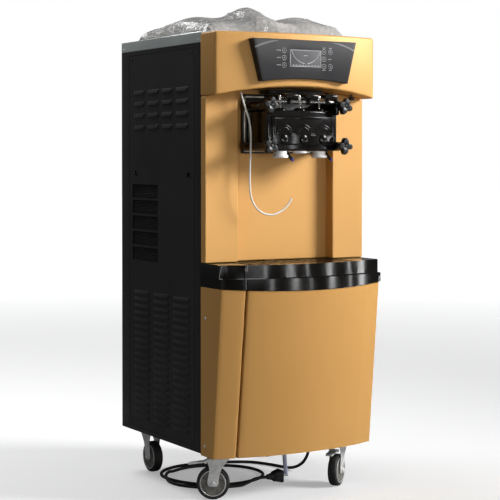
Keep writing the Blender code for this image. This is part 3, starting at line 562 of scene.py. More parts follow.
# Rear panel: a flat sheet with six vents, held by sheet metal screws round its edge.
dress("rear_panel", BLACK_COAT)
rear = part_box("rear_panel")[1].y
rear_screws = []
for z in (0.17, 0.46, 0.75, 1.04, 1.28):
    for x in (-0.252, 0.252):
        rear_screws.append(lathe("screw", [(0.001, 0.0004), (0.0013, 0.0012), (0.0042, 0.0012),
            (0.0036, 0.0026), (0.0013, 0.003)], (x, rear - 0.0004, z), 16, (-math.pi / 2, 0, 0)))
done(unite("rear_screws", rear_screws), ZINC, "cabinet", "zinc_plate")
vents = []
for row in range(6):
    low = 0.24 + 0.045 * row
    for blade in range(3):
        vane = block("vane", (-0.1605, rear - 0.004, low + 0.002 + blade * 0.0075),
            (0.1605, rear - 0.003, low + 0.009 + blade * 0.0075))
        for at in corners(vane):
            at.y += 0.0032 if at.z < low + 0.006 + blade * 0.0075 else -0.001
        vents.append(round_edges(vane, 0.0003, 1))
done(unite("rear_vanes", vents), BLACK_COAT, "cabinet", "black_paint")

# Deck: stainless sheet with a raised, rounded rim and two mouths for the hoppers. It sits
# over the side panels like a tray.
STEEL = finish("brushed_stainless", (0.66, 0.71, 0.69), 0.34, 0.75)
tint(STEEL, 6.0, (0.62, 0.67, 0.65), (0.74, 0.79, 0.77))
wear(STEEL, grain(STEEL, "Noise", 30.0, (1, 40.0, 40.0)), 0.24, 0.38)
relief(STEEL, grain(STEEL, "Noise", 60.0, (1, 40.0, 40.0)), 0.08, 0.0002)


deck_low, deck_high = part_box("top_tray")
deck = block("steel_deck", deck_low, deck_high)
remove_faces(deck, lambda face: face.normal.z < -0.5)
choose(deck, "FACE", lambda face: face.normal.z > 0.5)
bpy.ops.mesh.inset(thickness=0.011, use_even_offset=True)
bpy.ops.mesh.extrude_region_move(TRANSFORM_OT_translate={"value": (0, 0, -0.0115)})
bpy.ops.object.mode_set(mode="OBJECT")
round_edges(deck, 0.0022, 3)
work(deck, "SOLIDIFY", thickness=0.0014, offset=-1)
mouths = []
for side in (-1, 1):
    mouths.append(block("mouth", (side * 0.118 - 0.0905, -0.0655, 1.29),
        (side * 0.118 + 0.0905, 0.2155, 1.36)))
cut_out(deck, mouths)
done(deck, STEEL, "cabinet", "stainless_steel", "top_tray")
rivets = []
for y in (deck_low.y + 0.014, deck_high.y - 0.018):
    for side in (-1, 1):
        rivets.append(lathe("rivet", [(0.003, 0), (0.0029, 0.0006), (0.002, 0.0014), (0.0006, 0.0017)],
            (side * half, y, 1.319), 16, (0, side * math.pi / 2, 0)))
done(unite("deck_rivets", rivets), ZINC, "cabinet", "zinc_plate")

# Hoppers and their lids: deep stainless basins that hold the mix, each under a black moulded
# lid with a round knob.
BLACK_MATTE = finish("black_matte_plastic", (0.009, 0.009, 0.01), 0.36, 0, Specular_IOR_Level=0.35)
wear(BLACK_MATTE, 25.0, 0.28, 0.44)
relief(BLACK_MATTE, 900.0, 0.15, 0.0002)
for label in ("left", "right"):
    dress(f"hopper_{label}", STEEL)
    lid_low, lid_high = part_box(f"hopper_lid_{label}")
    brim = lid_high.z - 0.02
    lid = block("lid", lid_low, (lid_high.x, lid_high.y, brim))
    remove_faces(lid, lambda face: face.normal.z < -0.5)
    choose(lid, "FACE", lambda face: face.normal.z > 0.5)
    bpy.ops.mesh.inset(thickness=0.026, use_even_offset=True)
    bpy.ops.mesh.extrude_region_move(TRANSFORM_OT_translate={"value": (0, 0, -0.004)})
    bpy.ops.object.mode_set(mode="OBJECT")
    round_edges(lid, 0.008, 4)
    work(lid, "SOLIDIFY", thickness=0.0024, offset=-1)
    centre = (lid_low + lid_high) / 2
    knob = lathe("lid_knob", [(0.012, brim - 0.006), (0.0105, brim + 0.004), (0.0125, brim + 0.009),
        (0.016, brim + 0.012), (0.016, brim + 0.017), (0.0135, lid_high.z)], (centre.x, centre.y, 0), 32)
    done(unite(f"{label}_hopper_lid", [lid, knob]), BLACK_MATTE, f"hopper_lid_{label}", "black_plastic",
        f"hopper_lid_{label}")

# Packing film: a loose sheet of clear polythene over both lids, as the machine was delivered.
# It is draped by cloth simulation over the lids and the two bags of spare parts under it.
FILM = finish("clear_polythene", (0.52, 0.5, 0.48), 0.18, 0, Alpha=0.66, IOR=1.5, Coat_Weight=0.4,
    Coat_Roughness=0.08)
tint(FILM, 9.0, (0.34, 0.34, 0.33), (0.72, 0.69, 0.66))
wear(FILM, 22.0, 0.1, 0.3)
film_low, film_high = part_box("film_cover")
film_middle = (film_low + film_high) / 2
film_half = ((film_high.x - film_low.x) / 2 + 0.002, (film_high.y - film_low.y) / 2 + 0.002)
film_floor = deck_high.z + 0.0012
lumps = [(-0.035, -0.01, 0.07, 0.12, 0.056), (-0.15, 0.08, 0.09, 0.15, 0.03),
    (0.135, -0.02, 0.11, 0.11, 0.036), (-0.08, 0.16, 0.1, 0.1, 0.016)]


def film_height(x, y):
    """The lids' flat tops, the lumps of what lies on them, and the fall at the sheet's edge."""
    across = abs(x - film_middle.x) / film_half[0]
    along = abs(y - film_middle.y) / film_half[1]
    edge = min(1, (1 - max(across, along) ** 4) * 2.2) * min(1, (1 - (across * along) ** 3) * 2.0)
    rise = 0.038
    for lump_x, lump_y, wide, long, high in lumps:
        away = ((x - lump_x) / wide) ** 2 + ((y - lump_y) / long) ** 2
        rise += high * math.exp(-1.6 * away)
    return film_floor + rise * max(edge, 0) ** 0.6


bpy.ops.object.select_all(action="DESELECT")
bpy.ops.mesh.primitive_grid_add(x_subdivisions=84, y_subdivisions=80, size=2.0,
    location=(film_middle.x, film_middle.y, 0))
film = bpy.context.object
film.name = "packing_film"
film.scale = (*film_half, 1)
settle()
for at in corners(film):
    at.z = film_height(at.x, at.y)
body_under = film.copy()
body_under.data = film.data.copy()
bpy.context.scene.collection.objects.link(body_under)
for at in corners(body_under):
    at.z -= 0.009
body_under.modifiers.new("rest", "COLLISION")
body_under.collision.thickness_outer = 0.002
body_under.collision.cloth_friction = 25.0
cloth = film.modifiers.new("cloth", "CLOTH")
cloth.settings.quality = 6
cloth.settings.mass = 0.12
cloth.settings.tension_stiffness = 25.0
cloth.settings.compression_stiffness = 25.0
cloth.settings.bending_stiffness = 0.35
cloth.settings.shrink_min = -0.075
cloth.settings.air_damping = 2.0
cloth.collision_settings.distance_min = 0.001
for step in range(1, 27):
    bpy.context.scene.frame_set(step)
pick(film)
bpy.ops.object.modifier_apply(modifier="cloth")
bpy.context.scene.frame_set(1)
bpy.data.objects.remove(body_under)
film_top = film_high.z + 0.006
creases = random.Random(7)
folds = []
for _ in range(90):
    angle = creases.uniform(0, math.pi)
    folds.append((creases.uniform(-0.23, 0.23), creases.uniform(-0.13, 0.3), math.cos(angle),
        math.sin(angle), creases.uniform(0.015, 0.06), creases.uniform(0.002, 0.005),
        creases.uniform(-0.003, 0.0042)))
work(film, "SUBSURF", levels=1, render_levels=1)
for at in corners(film):
    for fold_x, fold_y, run_x, run_y, length, width, height in folds:
        off_x, off_y = at.x - fold_x, at.y - fold_y
        far = off_x * run_x + off_y * run_y
        aside = off_y * run_x - off_x * run_y
        if abs(far) < length and abs(aside) < 4 * width:
            at.z += height * (1 - (far / length) ** 2) * math.exp(-abs(aside) / width)
    at.z = min(max(at.z, film_floor), film_top)
    at.x = min(max(at.x, film_low.x - 0.006), film_high.x + 0.006)
    at.y = min(max(at.y, film_low.y - 0.004), film_high.y + 0.006)
bpy.ops.object.shade_smooth()
work(film, "SOLIDIFY", thickness=0.0003, offset=1)
bpy.ops.object.shade_smooth_by_angle(angle=math.radians(60))
crinkle = node(FILM.node_tree, "Math")
crinkle.operation = "ADD"
FILM.node_tree.links.new(grain(FILM, "Voronoi", 65.0, (1, 1.4, 0.8)), crinkle.inputs[0])
FILM.node_tree.links.new(grain(FILM, "Noise", 120.0), crinkle.inputs[1])
relief(FILM, crinkle.outputs["Value"], 0.75, 0.004)
done(film, FILM, "film_cover", "clear_film", "film_cover")

# Header: a bowed cowl of sheet steel in satin gold paint. Its lower edge arches up in the
# middle, its corners are rounded, and it hooks over the front of the cabinet.
GOLD = finish("satin_gold_paint", (0.66, 0.345, 0.102), 0.5, 0.12, Specular_IOR_Level=0.35)
tint(GOLD, 2.2, (0.63, 0.33, 0.092), (0.69, 0.372, 0.112))
wear(GOLD, 7.0, 0.46, 0.55)
relief(GOLD, 1100.0, 0.1, 0.0002)


def slice_across(piece, cuts):
    """Cut the piece into even strips along X."""
    ends = piece.data.vertices
    choose(piece, "EDGE",
        lambda edge: abs(ends[edge.vertices[0]].co.x - ends[edge.vertices[1]].co.x) > 0.001)
    bpy.ops.mesh.subdivide(number_cuts=cuts)
    bpy.ops.object.mode_set(mode="OBJECT")


def swell(x):
    """How far along the bow a place is: one in the middle of the machine, nothing at its sides."""
    return 1 - (x / half) ** 2


def bowed(name, left, right, corner_y, depth, back_y, low, high, lift=0, cuts=31):
    """A blank with a bowed front, whose underside rises (or falls) towards the middle."""
    made = block(name, (left, corner_y, low), (right, back_y, high))
    slice_across(made, cuts)
    for at in corners(made):
        if at.y < (corner_y + back_y) / 2:
            at.y = corner_y - depth * swell(at.x)
        if at.z < (low + high) / 2:
            at.z = low + lift * swell(at.x)
    return made


cowl_low, cowl_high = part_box("header_cowl")
cowl_corner, cowl_bow, cowl_arch = -0.25, 0.036, 0.028
cowl = bowed("gold_header", -half, half, cowl_corner, cowl_bow, cowl_high.y, cowl_low.z, cowl_high.z,
    cowl_arch)
remove_faces(cowl, lambda face: face.normal.y > 0.9)
round_edges(cowl, 0.0065, 4, 50)
work(cowl, "SOLIDIFY", thickness=0.0018, offset=-1)
smooth()
done(cowl, GOLD, "cabinet", "gold_paint", "header_cowl")

# Control panel: a thick black moulding with a tapering outline, screwed to the cowl. Its face
# carries flat touch keys, marked in pale ink, round a grey display.
PANEL_BLACK = finish("charcoal_panel_face", (0.026, 0.025, 0.027), 0.46, 0, Specular_IOR_Level=0.2)
tint(PANEL_BLACK, 8.0, (0.018, 0.0175, 0.0195), (0.027, 0.026, 0.028))
wear(PANEL_BLACK, 18.0, 0.36, 0.5)
face_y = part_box("control_panel")[0].y
panel_top, panel_bottom = 1.3175, 1.1965
panel = block("black_control_panel", (-0.175, face_y, panel_bottom),
    (0.175, cowl_corner - 0.005, panel_top))
slice_across(panel, 27)
for at in corners(panel):
    if at.z < (panel_top + panel_bottom) / 2:
        at.x *= 0.145 / 0.175
        at.z += 0.01 * (1 - (at.x / 0.145) ** 2)
    if at.y > face_y + 0.001:
        at.y = cowl_corner - cowl_bow * swell(at.x) + 0.0008
round_edges(panel, 0.0022, 3, 50)
window = block("pocket", (-0.0535, face_y - 0.01, 1.2395), (0.0535, face_y + 0.0012, 1.2905))
cut_out(panel, [window])
done(panel, PANEL_BLACK, "cabinet", "black_gloss_plastic", "control_panel")

# Display: a grey window in a pale bezel, with two curved bars of segments and a small mark.
GLASS_GREY = finish("grey_display", (0.11, 0.11, 0.115), 0.55, 0, Specular_IOR_Level=0.15)
tint(GLASS_GREY, 14.0, (0.085, 0.085, 0.09), (0.135, 0.135, 0.14))
PALE_INK = finish("pale_ink", (0.42, 0.42, 0.43), 0.5)
tint(PALE_INK, 60.0, (0.36, 0.36, 0.37), (0.48, 0.48, 0.49))
display = block("display_pane", (-0.0525, face_y + 0.0002, 1.2405), (0.0525, face_y + 0.0012, 1.2895),
    0.0004, 2)
done(display, GLASS_GREY, "cabinet", "display_glass", "display_window")
ink_y = face_y + 0.0002


def stroke(name, points, width, material=PALE_INK):
    """A thin rounded line through a few points, as a mesh."""
    line = flex(name, points, width, material)
    line.data.bevel_resolution = 2
    pick(line)
    bpy.ops.object.convert(target="MESH")
    bpy.ops.object.shade_smooth()
    return bpy.context.object


def dash(x, z, wide, high, y):
    """A flat printed mark, by its middle and its half width and half height."""
    return block("dash", (x - wide, y - 0.0002, z - high), (x + wide, y + 0.0002, z + high))


marks = []
for side in (-1, 1):
    marks.append(stroke("bar", [(side * 0.049, ink_y, 1.2865), (side * 0.038, ink_y, 1.268),
        (side * 0.023, ink_y, 1.256), (side * 0.0045, ink_y, 1.25)], 0.003))
    marks.append(dash(side * 0.0517, 1.265, 0.0008, 0.0238, ink_y))
for z in (1.242, 1.288):
    marks.append(dash(0, z, 0.0525, 0.0008, ink_y))
for tick in range(9):
    marks.append(dash(-0.04125 + tick * 0.0105, 1.24535, 0.00275, 0.00085, ink_y))
marks.append(dash(0, 1.2729, 0.0065, 0.0009, ink_y))
done(unite("display_marks", marks), PALE_INK, "cabinet", "display_glass")

# Touch keys: round outlines with a small sign in each, and short generic label strokes.
keys = []
left_keys = [(-0.072, z) for z in (1.2858, 1.265, 1.2441)]
right_keys = [(0.062, z) for z in (1.2858, 1.265, 1.2441)] + [(0.084, z) for z in (1.2858, 1.2441)]
for place, (x, z) in enumerate(left_keys + right_keys):
    bpy.ops.object.select_all(action="DESELECT")
    bpy.ops.mesh.primitive_torus_add(major_radius=0.0068, minor_radius=0.00055, major_segments=28,
        minor_segments=6, location=(x, face_y, z), rotation=(math.pi / 2, 0, 0))
    settle()
    keys.append(bpy.context.object)
    keys.append(dash(x, z, 0.0032, 0.0004, face_y))
    if place % 2:
        keys.append(dash(x, z, 0.0004, 0.0032, face_y))
    else:
        keys.append(stroke("sign", [(x - 0.0026, face_y, z - 0.002), (x, face_y, z + 0.003),
            (x + 0.0026, face_y, z - 0.002)], 0.0007))
for x, z in left_keys:
    for letter in range(4):
        keys.append(dash(x - 0.02375 + letter * 0.0036, z, 0.00125, 0.0009, face_y))
for x, z in right_keys:
    beside = abs(z - 1.265) < 0.001
    label_x = x + 0.0162 if beside else x - 0.0038
    label_z = z if beside else z + math.copysign(0.011, z - 1.265)
    for letter in range(3):
        keys.append(dash(label_x + letter * 0.0036, label_z, 0.0012, 0.0008, face_y))
done(unite("touch_key_marks", keys), PALE_INK, "cabinet", "black_gloss_plastic")

# A pale curved trim printed on each upper corner of the panel.
# This grey serves both for the printed corner trims and for the painted highlights on the head.
SILVER_INK_AND_HIGHLIGHT = finish("silver_trim_ink_and_painted_highlight", (0.11, 0.11, 0.11), 0.45, 0.1)
tint(SILVER_INK_AND_HIGHLIGHT, 20.0, (0.09, 0.09, 0.09), (0.14, 0.14, 0.14))
trims = []
for side in (-1, 1):
    trim = block("trim", (side * 0.168, face_y - 0.00025, 1.296), (side * 0.092, face_y + 0.0003, 1.3135))
    slice_across(trim, 15)
    for at in corners(trim):
        along = (abs(at.x) - 0.092) / 0.076
        upper = at.z > 1.305
        sweep = 1.3135 - 0.0195 * along ** 2
        at.z = sweep if upper else sweep - 0.0005 - 0.0052 * math.sin(math.pi * min(1,
            along * 0.72 + 0.05))
    trims.append(trim)
done(unite("panel_corner_trims", trims), SILVER_INK_AND_HIGHLIGHT, "cabinet", "black_gloss_plastic")

# Front column: sheet steel folded into two pillars with a deep recess between them, painted
# like the header. A window in the recess lets the freezing cylinders reach the head.
column_front, recess_half, recess_floor, column_foot = -0.192, 0.162, -0.155, 0.6825
column = block("gold_column", (-half, column_front, column_foot), (half, recess_floor + 0.012, 1.25))
slice_across(column, 31)
for at in corners(column):
    if at.z > 1:
        at.z = cowl_low.z - 0.001 + cowl_arch * swell(at.x)
hollows = [block("recess", (-recess_half, -0.25, 0.6), (recess_half, recess_floor, 1.3)),
    block("window", (-0.123, -0.2, 1.003), (0.123, -0.1, 1.117))]
for side in (-1, 1):
    hollows.append(block("back", (side * 0.224 - 0.048, column_front + 0.026, 0.6),
        (side * 0.224 + 0.048, -0.1, 1.3)))
cut_out(column, hollows)
round_edges(column, 0.0028, 3, 50)
done(column, GOLD, "cabinet", "gold_paint", "front_column")

# Switch box and thumbscrew: a flat black housing under the header's arch, and the black
# plastic screw that holds the header down at its right.
BLACK_GLOSS = finish("black_glossy_plastic", (0.005, 0.0045, 0.004), 0.12, 0, Specular_IOR_Level=0.4)
tint(BLACK_GLOSS, 5.0, (0.004, 0.0035, 0.003), (0.007, 0.006, 0.005))
wear(BLACK_GLOSS, 16.0, 0.08, 0.16)
relief(BLACK_GLOSS, 35.0, 0.04, 0.0008)
switch_box = block("switch_housing", *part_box("switch_box"), 0.0018)
done(switch_box, BLACK_MATTE, "cabinet", "black_plastic", "switch_box")
knurl_x, knurl_y = 0.205, -0.226
thumbscrew = lathe("header_thumbscrew", [(0.0034, 1.169), (0.0034, 1.1618), (0.008, 1.161),
    (0.0092, 1.159), (0.0092, 1.1535), (0.0078, 1.1515), (0.004, 1.151)], (knurl_x, knurl_y, 0), 32)
for at in corners(thumbscrew):
    off_x, off_y = at.x - knurl_x, at.y - knurl_y
    ripple = 1 + 0.07 * math.cos(8 * math.atan2(off_y, off_x))
    if math.hypot(off_x, off_y) > 0.007:
        at.x = knurl_x + off_x * ripple
        at.y = knurl_y + off_y * ripple
done(thumbscrew, BLACK_MATTE, "cabinet", "black_plastic")

# Mounting plate: black plastic behind the head, edged with a bright strip of metal. Four
# studs stand out of it for the star knobs.
plate_low, plate_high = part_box("head_mount_plate")
plate_front = -0.1655
plate = block("mounting_plate", (plate_low.x, plate_front, plate_low.z), plate_high, 0.003)
done(plate, BLACK_MATTE, "cabinet", "black_gloss_plastic", "head_mount_plate")
EDGE_STRIP = finish("pale_metal_strip", (0.56, 0.5, 0.4), 0.36, 0.75)
tint(EDGE_STRIP, 40.0, (0.46, 0.41, 0.33), (0.64, 0.58, 0.47))
strips = []
for low, high in (((-0.127, plate_front - 0.0012, 0.9985), (-0.1215, plate_front, 1.161)),
        ((-0.127, plate_front - 0.0012, 1.156), (-0.06, plate_front, 1.161)),
        ((-0.127, plate_front - 0.0012, 0.9985), (0.127, plate_front, 1.001))):
    strips.append(block("strip", low, high, 0.0005, 2))
done(unite("mounting_plate_strip", strips), EDGE_STRIP, "cabinet", "chrome")
stud_x, stud_heights = 0.125, (1.13, 1.015)
studs = [lathe("stud", [(0.004, -0.166), (0.004, -0.315), (0.003, -0.316)], (x, 0, z), 20,
    (-math.pi / 2, 0, 0)) for x in (-stud_x, stud_x) for z in stud_heights]
done(unite("knob_studs", studs), ZINC, "cabinet", "zinc_plate")

# Dispensing head: a heavy block of black acetal with a raised face. Ridges, three double
# arches and bosses stand on it, and four lugs take the knobs.
head_low, head_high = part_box("dispensing_head")
face_plane = head_low.y + 0.01
valve_lines, valve_y = (-0.066, 0, 0.066), -0.266
forwards = (math.pi / 2, 0, 0)


def valve_bores():
    """Three upright holes for the plungers, a little wider than they are."""
    return [lathe("bore", [(0.0112, 0.95), (0.0112, 1.2)], (x, valve_y, 0), 32) for x in valve_lines]


head = block("head_block", (-0.118, face_plane + 0.006, 1.001), (0.118, head_high.y, 1.118))
face = block("head_face", (-0.105, face_plane, 1.018), (0.105, face_plane + 0.016, 1.1))
parts = [cut_out(round_edges(head, 0.006, 4), valve_bores()),
    cut_out(round_edges(face, 0.0045, 4), valve_bores())]
for low, high in (((-0.098, 1.0925), (0.098, 1.0985)), ((-0.0995, 1.052), (-0.0955, 1.0965)),
        ((0.0955, 1.052), (0.0995, 1.0965)), ((-0.0995, 1.0485), (-0.086, 1.052)),
        ((0.086, 1.0485), (0.0995, 1.052))):
    rib = block("rib", (low[0], face_plane - 0.0026, low[1]), (high[0], face_plane + 0.004, high[1]),
        0.0012)
    parts.append(rib)
for side in (-1, 1):
    for z in stud_heights:
        parts.append(lathe("lug", [(0.013, 0.166), (0.013, 0.29), (0.0112, 0.2975), (0.006, 0.2978)],
            (side * stud_x, 0, z), 32, forwards))
    ear = block("ear", (side * 0.113 - 0.006, -0.294, 1.105), (side * 0.113 + 0.006, -0.268, 1.152),
        0.0045, 4)
    parts.append(ear)


def arc(centre_x, centre_z, radius, start, end, y, width, material):
    """A raised half ring on the face, from one angle to another."""
    points = []
    for step in range(9):
        angle = start + (end - start) * step / 8
        points.append((centre_x + radius * math.cos(angle), y, centre_z + radius * math.sin(angle)))
    return stroke("arc", points, width, material)


for x in valve_lines:
    parts.append(arc(x, 1.05, 0.0255, 0, math.pi, face_plane, 0.0042, BLACK_GLOSS))
    parts.append(arc(x, 1.05, 0.0185, 0, math.pi, face_plane, 0.004, BLACK_GLOSS))
    boss = lathe("boss", [(0.013, 0.286), (0.0125, 0.2905), (0.0095, 0.2925), (0.004, 0.293)], (x, 0, 0),
        32, forwards)
    for at in corners(boss):
        at.z = 1.034 + at.z * 1.15
    parts.append(boss)
    collar = lathe("collar", [(0.0175, 1.1165), (0.0175, 1.118), (0.0165, 1.1205), (0.0135, 1.1235),
        (0.012, 1.124)], (x, valve_y, 0), 32)
    parts.append(cut_out(collar, valve_bores()))
done(unite("dispensing_head_body", parts), BLACK_GLOSS, "cabinet", "black_gloss_plastic",
    "dispensing_head")
# Pale dashes on the head's face and short arcs on the fronts of its bosses: painted highlights.
glints = []
for x in (-0.033, 0.033):
    glints.append(dash(x, 1.04635, 0.0085, 0.00085, face_plane))
    glints.append(dash(x, 1.05035, 0.0055, 0.00085, face_plane))
for x in valve_lines:
    glints.append(arc(x, 1.035, 0.0085, -0.9, 1.3, face_plane - 0.0048, 0.0015, SILVER_INK_AND_HIGHLIGHT))
done(unite("head_painted_highlights", glints), SILVER_INK_AND_HIGHLIGHT, "cabinet", "black_gloss_plastic")

# Handle rod: a chrome-plated steel pin through the head's two ears.
rod_low, rod_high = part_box("handle_rod")
rod_y, rod_z = (rod_low.y + rod_high.y) / 2, (rod_low.z + rod_high.z) / 2
rod = lathe("handle_pin", [(0.0028, rod_low.x), (0.0036, rod_low.x + 0.0008),
    (0.0036, rod_high.x - 0.0008), (0.0028, rod_high.x)], (0, rod_y, rod_z), 32, sideways)
done(rod, CHROME, "cabinet", "chrome", "handle_rod")

# Draw handles and valves: black levers with wide paddles turn on the rod. Each lifts a white
# plunger in the head by its chrome stem, which ends in a small fork.
WHITE = finish("white_nylon", (0.86, 0.83, 0.8), 0.34)
tint(WHITE, 30.0, (0.82, 0.79, 0.76), (0.9, 0.88, 0.85))
for label, x in zip(("left", "middle", "right"), valve_lines):
    paddle = block("paddle", (x - 0.022, rod_y - 0.05, rod_z + 0.0065),
        (x + 0.022, rod_y - 0.012, rod_z + 0.0205))
    for at in corners(paddle):
        if at.y > rod_y - 0.03:
            at.x = x + (at.x - x) * 0.86
            at.z += 0.002
    round_edges(paddle, 0.0055, 5)
    lever = block("lever", (x + 0.0095, rod_y - 0.04, rod_z + 0.006),
        (x + 0.0205, rod_y + 0.003, rod_z + 0.022), 0.004, 4)
    hub = lathe("hub", [(0.0072, x + 0.0095), (0.0086, x + 0.0108), (0.0086, x + 0.0192),
        (0.0072, x + 0.0205)], (0, rod_y, rod_z), 32, sideways)
    done(unite(f"{label}_draw_handle", [paddle, lever, hub]), BLACK_GLOSS, f"draw_handle_{label}",
        "black_gloss_plastic", f"draw_handle_{label}")
    plunger = lathe(f"{label}_valve_plunger", [(0.008, 1.007), (0.0105, 1.009), (0.0105, 1.111),
        (0.009, 1.113), (0.004, 1.1135)], (x, valve_y, 0), 32)
    done(plunger, WHITE, f"draw_valve_{label}", "white_plastic", f"draw_valve_{label}")
    stem = lathe("stem", [(0.003, 1.112), (0.003, 1.144), (0.0022, 1.145)], (x, valve_y, 0), 20)
    fork = block("fork", (x - 0.007, valve_y - 0.002, 1.142), (x + 0.004, valve_y + 0.001, 1.159))
    for at in corners(fork):
        if at.z < 1.15:
            at.x = x + (at.x - x) * 0.35
    round_edges(fork, 0.0009, 2)
    done(unite(f"{label}_valve_stem", [stem, fork]), CHROME, f"draw_valve_{label}", "chrome")

# Star knobs: four-armed black plastic nuts that clamp the head to its studs, each with a
# small six-sided insert in its face.
def stand(piece, place, turn=(0, 0, 0)):
    """Turn the piece and set it in its place."""
    pick(piece)
    piece.rotation_euler = turn
    piece.location = place
    settle()
    return piece


knob_turns = {"upper_left": 0.2, "upper_right": 0.35, "lower_left": 0.62, "lower_right": 0.08}
for label, angle in knob_turns.items():
    knob_low, knob_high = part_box(f"star_knob_{label}")
    knob_place = (knob_low + knob_high) / 2
    star = lathe(f"{label}_star_knob", [(0.005, -0.0098), (0.012, -0.0098), (0.0165, -0.0092),
        (0.0182, -0.007), (0.0182, 0.0045), (0.017, 0.008), (0.012, 0.0092), (0.0095, 0.0088),
        (0.007, 0.0074)], (0, 0, 0), 64)
    for at in corners(star):
        reach = math.hypot(at.x, at.y)
        turn = math.atan2(at.y, at.x)
        arm = 0.0128 + 0.0118 * abs(math.cos(2 * turn)) ** 1.4
        share = min(1, max(0, (reach - 0.0095) / 0.0087))
        at.x *= 1 + share * (arm / 0.0182 - 1)
        at.y *= 1 + share * (arm / 0.0182 - 1)
    stand(star, knob_place, (math.pi / 2, angle, 0))
    done(star, BLACK_MATTE, f"star_knob_{label}", "black_plastic", f"star_knob_{label}")
    insert = lathe(f"{label}_knob_insert", [(0.0046, -0.001), (0.0046, 0.0004), (0.0034, 0.0012),
        (0.0012, 0.0014)], (knob_place.x, knob_place.y - 0.0076, knob_place.z), 6, forwards)
    done(insert, BLACK_GLOSS, f"star_knob_{label}", "black_plastic")

# Nozzles: white turned caps under the valves. The outer two have a flange, and the middle one
# is flat with a small tab.
for label, x in (("left", valve_lines[0]), ("right", valve_lines[2])):
    nozzle = lathe(f"{label}_nozzle", [(0.0095, 0.996), (0.01, 0.9825), (0.0108, 0.9812),
        (0.0212, 0.9812), (0.0226, 0.9822), (0.0235, 0.9866), (0.0228, 0.988), (0.019, 0.9905),
        (0.0185, 0.992), (0.0185, 1), (0.0175, 1.0005)], (x, valve_y, 0), 48)
    done(nozzle, WHITE, "cabinet", "white_plastic", f"nozzle_{label}")
cap = lathe("cap", [(0.0085, 0.9985), (0.0092, 0.9938), (0.01, 0.993), (0.0172, 0.993), (0.0184, 0.9938),
    (0.0205, 0.9962), (0.0205, 1), (0.0195, 1.0005)], (0, valve_y, 0), 48)
tab = block("tab", (0.015, -0.27, 0.9955), (0.033, -0.262, 0.999), 0.001, 2)
done(unite("middle_nozzle", [cap, tab]), WHITE, "cabinet", "white_plastic", "nozzle_middle")

# Bleed spouts: short black elbows beside the outer nozzles, with blue plugs in their ends.
BLUE = finish("blue_plug", (0.035, 0.055, 0.42), 0.4)
tint(BLUE, 60.0, (0.025, 0.045, 0.34), (0.045, 0.065, 0.5))
elbows, plugs = [], []
for x in (valve_lines[0], valve_lines[2]):
    elbows.append(stroke("elbow", [(x + 0.0245, -0.262, 1.006), (x + 0.0255, -0.264, 0.993),
        (x + 0.03, -0.27, 0.984), (x + 0.0345, -0.276, 0.977)], 0.01, BLACK_GLOSS))
    plugs.append(stroke("tip", [(x + 0.0335, -0.2745, 0.9785), (x + 0.0362, -0.278, 0.9742)], 0.008,
        BLUE))
done(unite("bleed_spouts", elbows), BLACK_GLOSS, "cabinet", "black_gloss_plastic")
done(unite("bleed_spout_plugs", plugs), BLUE, "cabinet", "white_plastic")

# Band: a glossy black moulding in two steps across the front. Its short left end is fixed, and
# the rest is the drip tray, which pulls out forwards.
def band(name, left, right, cuts):
    """The band between two places: its upper step stands back from its lower one."""
    lower = bowed(name, left, right, -0.287, 0.068, -0.166, 0.6165, 0.643, -0.008, cuts)
    upper = bowed("upper_step", left, right, -0.272, 0.063, -0.166, 0.6335, 0.6815, 0, cuts)
    work(lower, "BOOLEAN", object=upper, operation="UNION", solver="EXACT")
    bpy.data.objects.remove(upper)
    return round_edges(lower, 0.0034, 4, 50)


done(band("band_left_end", -half, -0.204, 4), BLACK_GLOSS, "cabinet", "black_gloss_plastic",
    "band_end_left")
tray = band("black_drip_tray", -0.202, half, 27)
cut_out(tray, [bowed("basin", -0.186, 0.161, -0.262, 0.063, -0.202, 0.624, 0.7, 0, 20),
    bowed("rebate", -0.19, 0.165, -0.266, 0.063, -0.196, 0.6775, 0.7, 0, 20)])
done(tray, BLACK_GLOSS, "drip_tray", "black_gloss_plastic", "drip_tray")
dress("drip_grille", BLACK_GLOSS)

# Lower front: a fixed strip at the left and the door, both bowed gold sheet with folded
# edges that lean in towards the foot. The door has a faint crease near its right side.
door_top, door_foot = 0.6143, 0.1325
crease_x, crease_slope = 0.199, 0.085


def leaning(name, left, right, back_y, cuts, seam_left):
    """A bowed sheet that leans, open at the back, top and foot, with a short fold at the seam."""
    made = block(name, (left, -0.25, door_foot), (right, back_y, door_top))
    slice_across(made, cuts)
    for at in corners(made):
        x = at.x
        high = at.z > 0.4
        if 0.18 < x < 0.193:
            x = at.x = crease_x - 0.0015
        if 0.193 < x < 0.21:
            x = at.x = crease_x + 0.0015
        plane = -0.285 - 0.067 * swell(x) if high else -0.237 - 0.045 * swell(x)
        if x > crease_x:
            plane += (x - crease_x) * crease_slope
        if at.y < -0.2:
            at.y = plane
        elif abs(x - (left if seam_left else right)) < 0.001:
            at.y = plane + 0.014
        if high:
            at.z = door_top - 0.008 * swell(x)
    remove_faces(made, lambda face: face.normal.y > 0.3 or abs(face.normal.z) > 0.6)
    round_edges(made, 0.003, 3, 40)
    work(made, "SOLIDIFY", thickness=0.0018, offset=-1)
    smooth()
    return made


strip = leaning("gold_left_strip", -half, -0.206, -0.166, 4, False)
done(strip, GOLD, "cabinet", "gold_paint", "left_front_strip")
door = leaning("gold_front_door", -0.2, half, -0.1695, 27, True)
done(door, GOLD, "front_door", "gold_paint", "front_door")
strip_screws = [lathe("screw", [(0.001, 0), (0.0014, 0.0006), (0.0042, 0.0006), (0.0036, 0.002),
    (0.0014, 0.0024)], (-half, y, z), 16, (0, -math.pi / 2, 0))
    for y, z in ((-0.195, 0.527), (-0.19, 0.162))]
done(unite("strip_screws", strip_screws), ZINC, "cabinet", "zinc_plate")

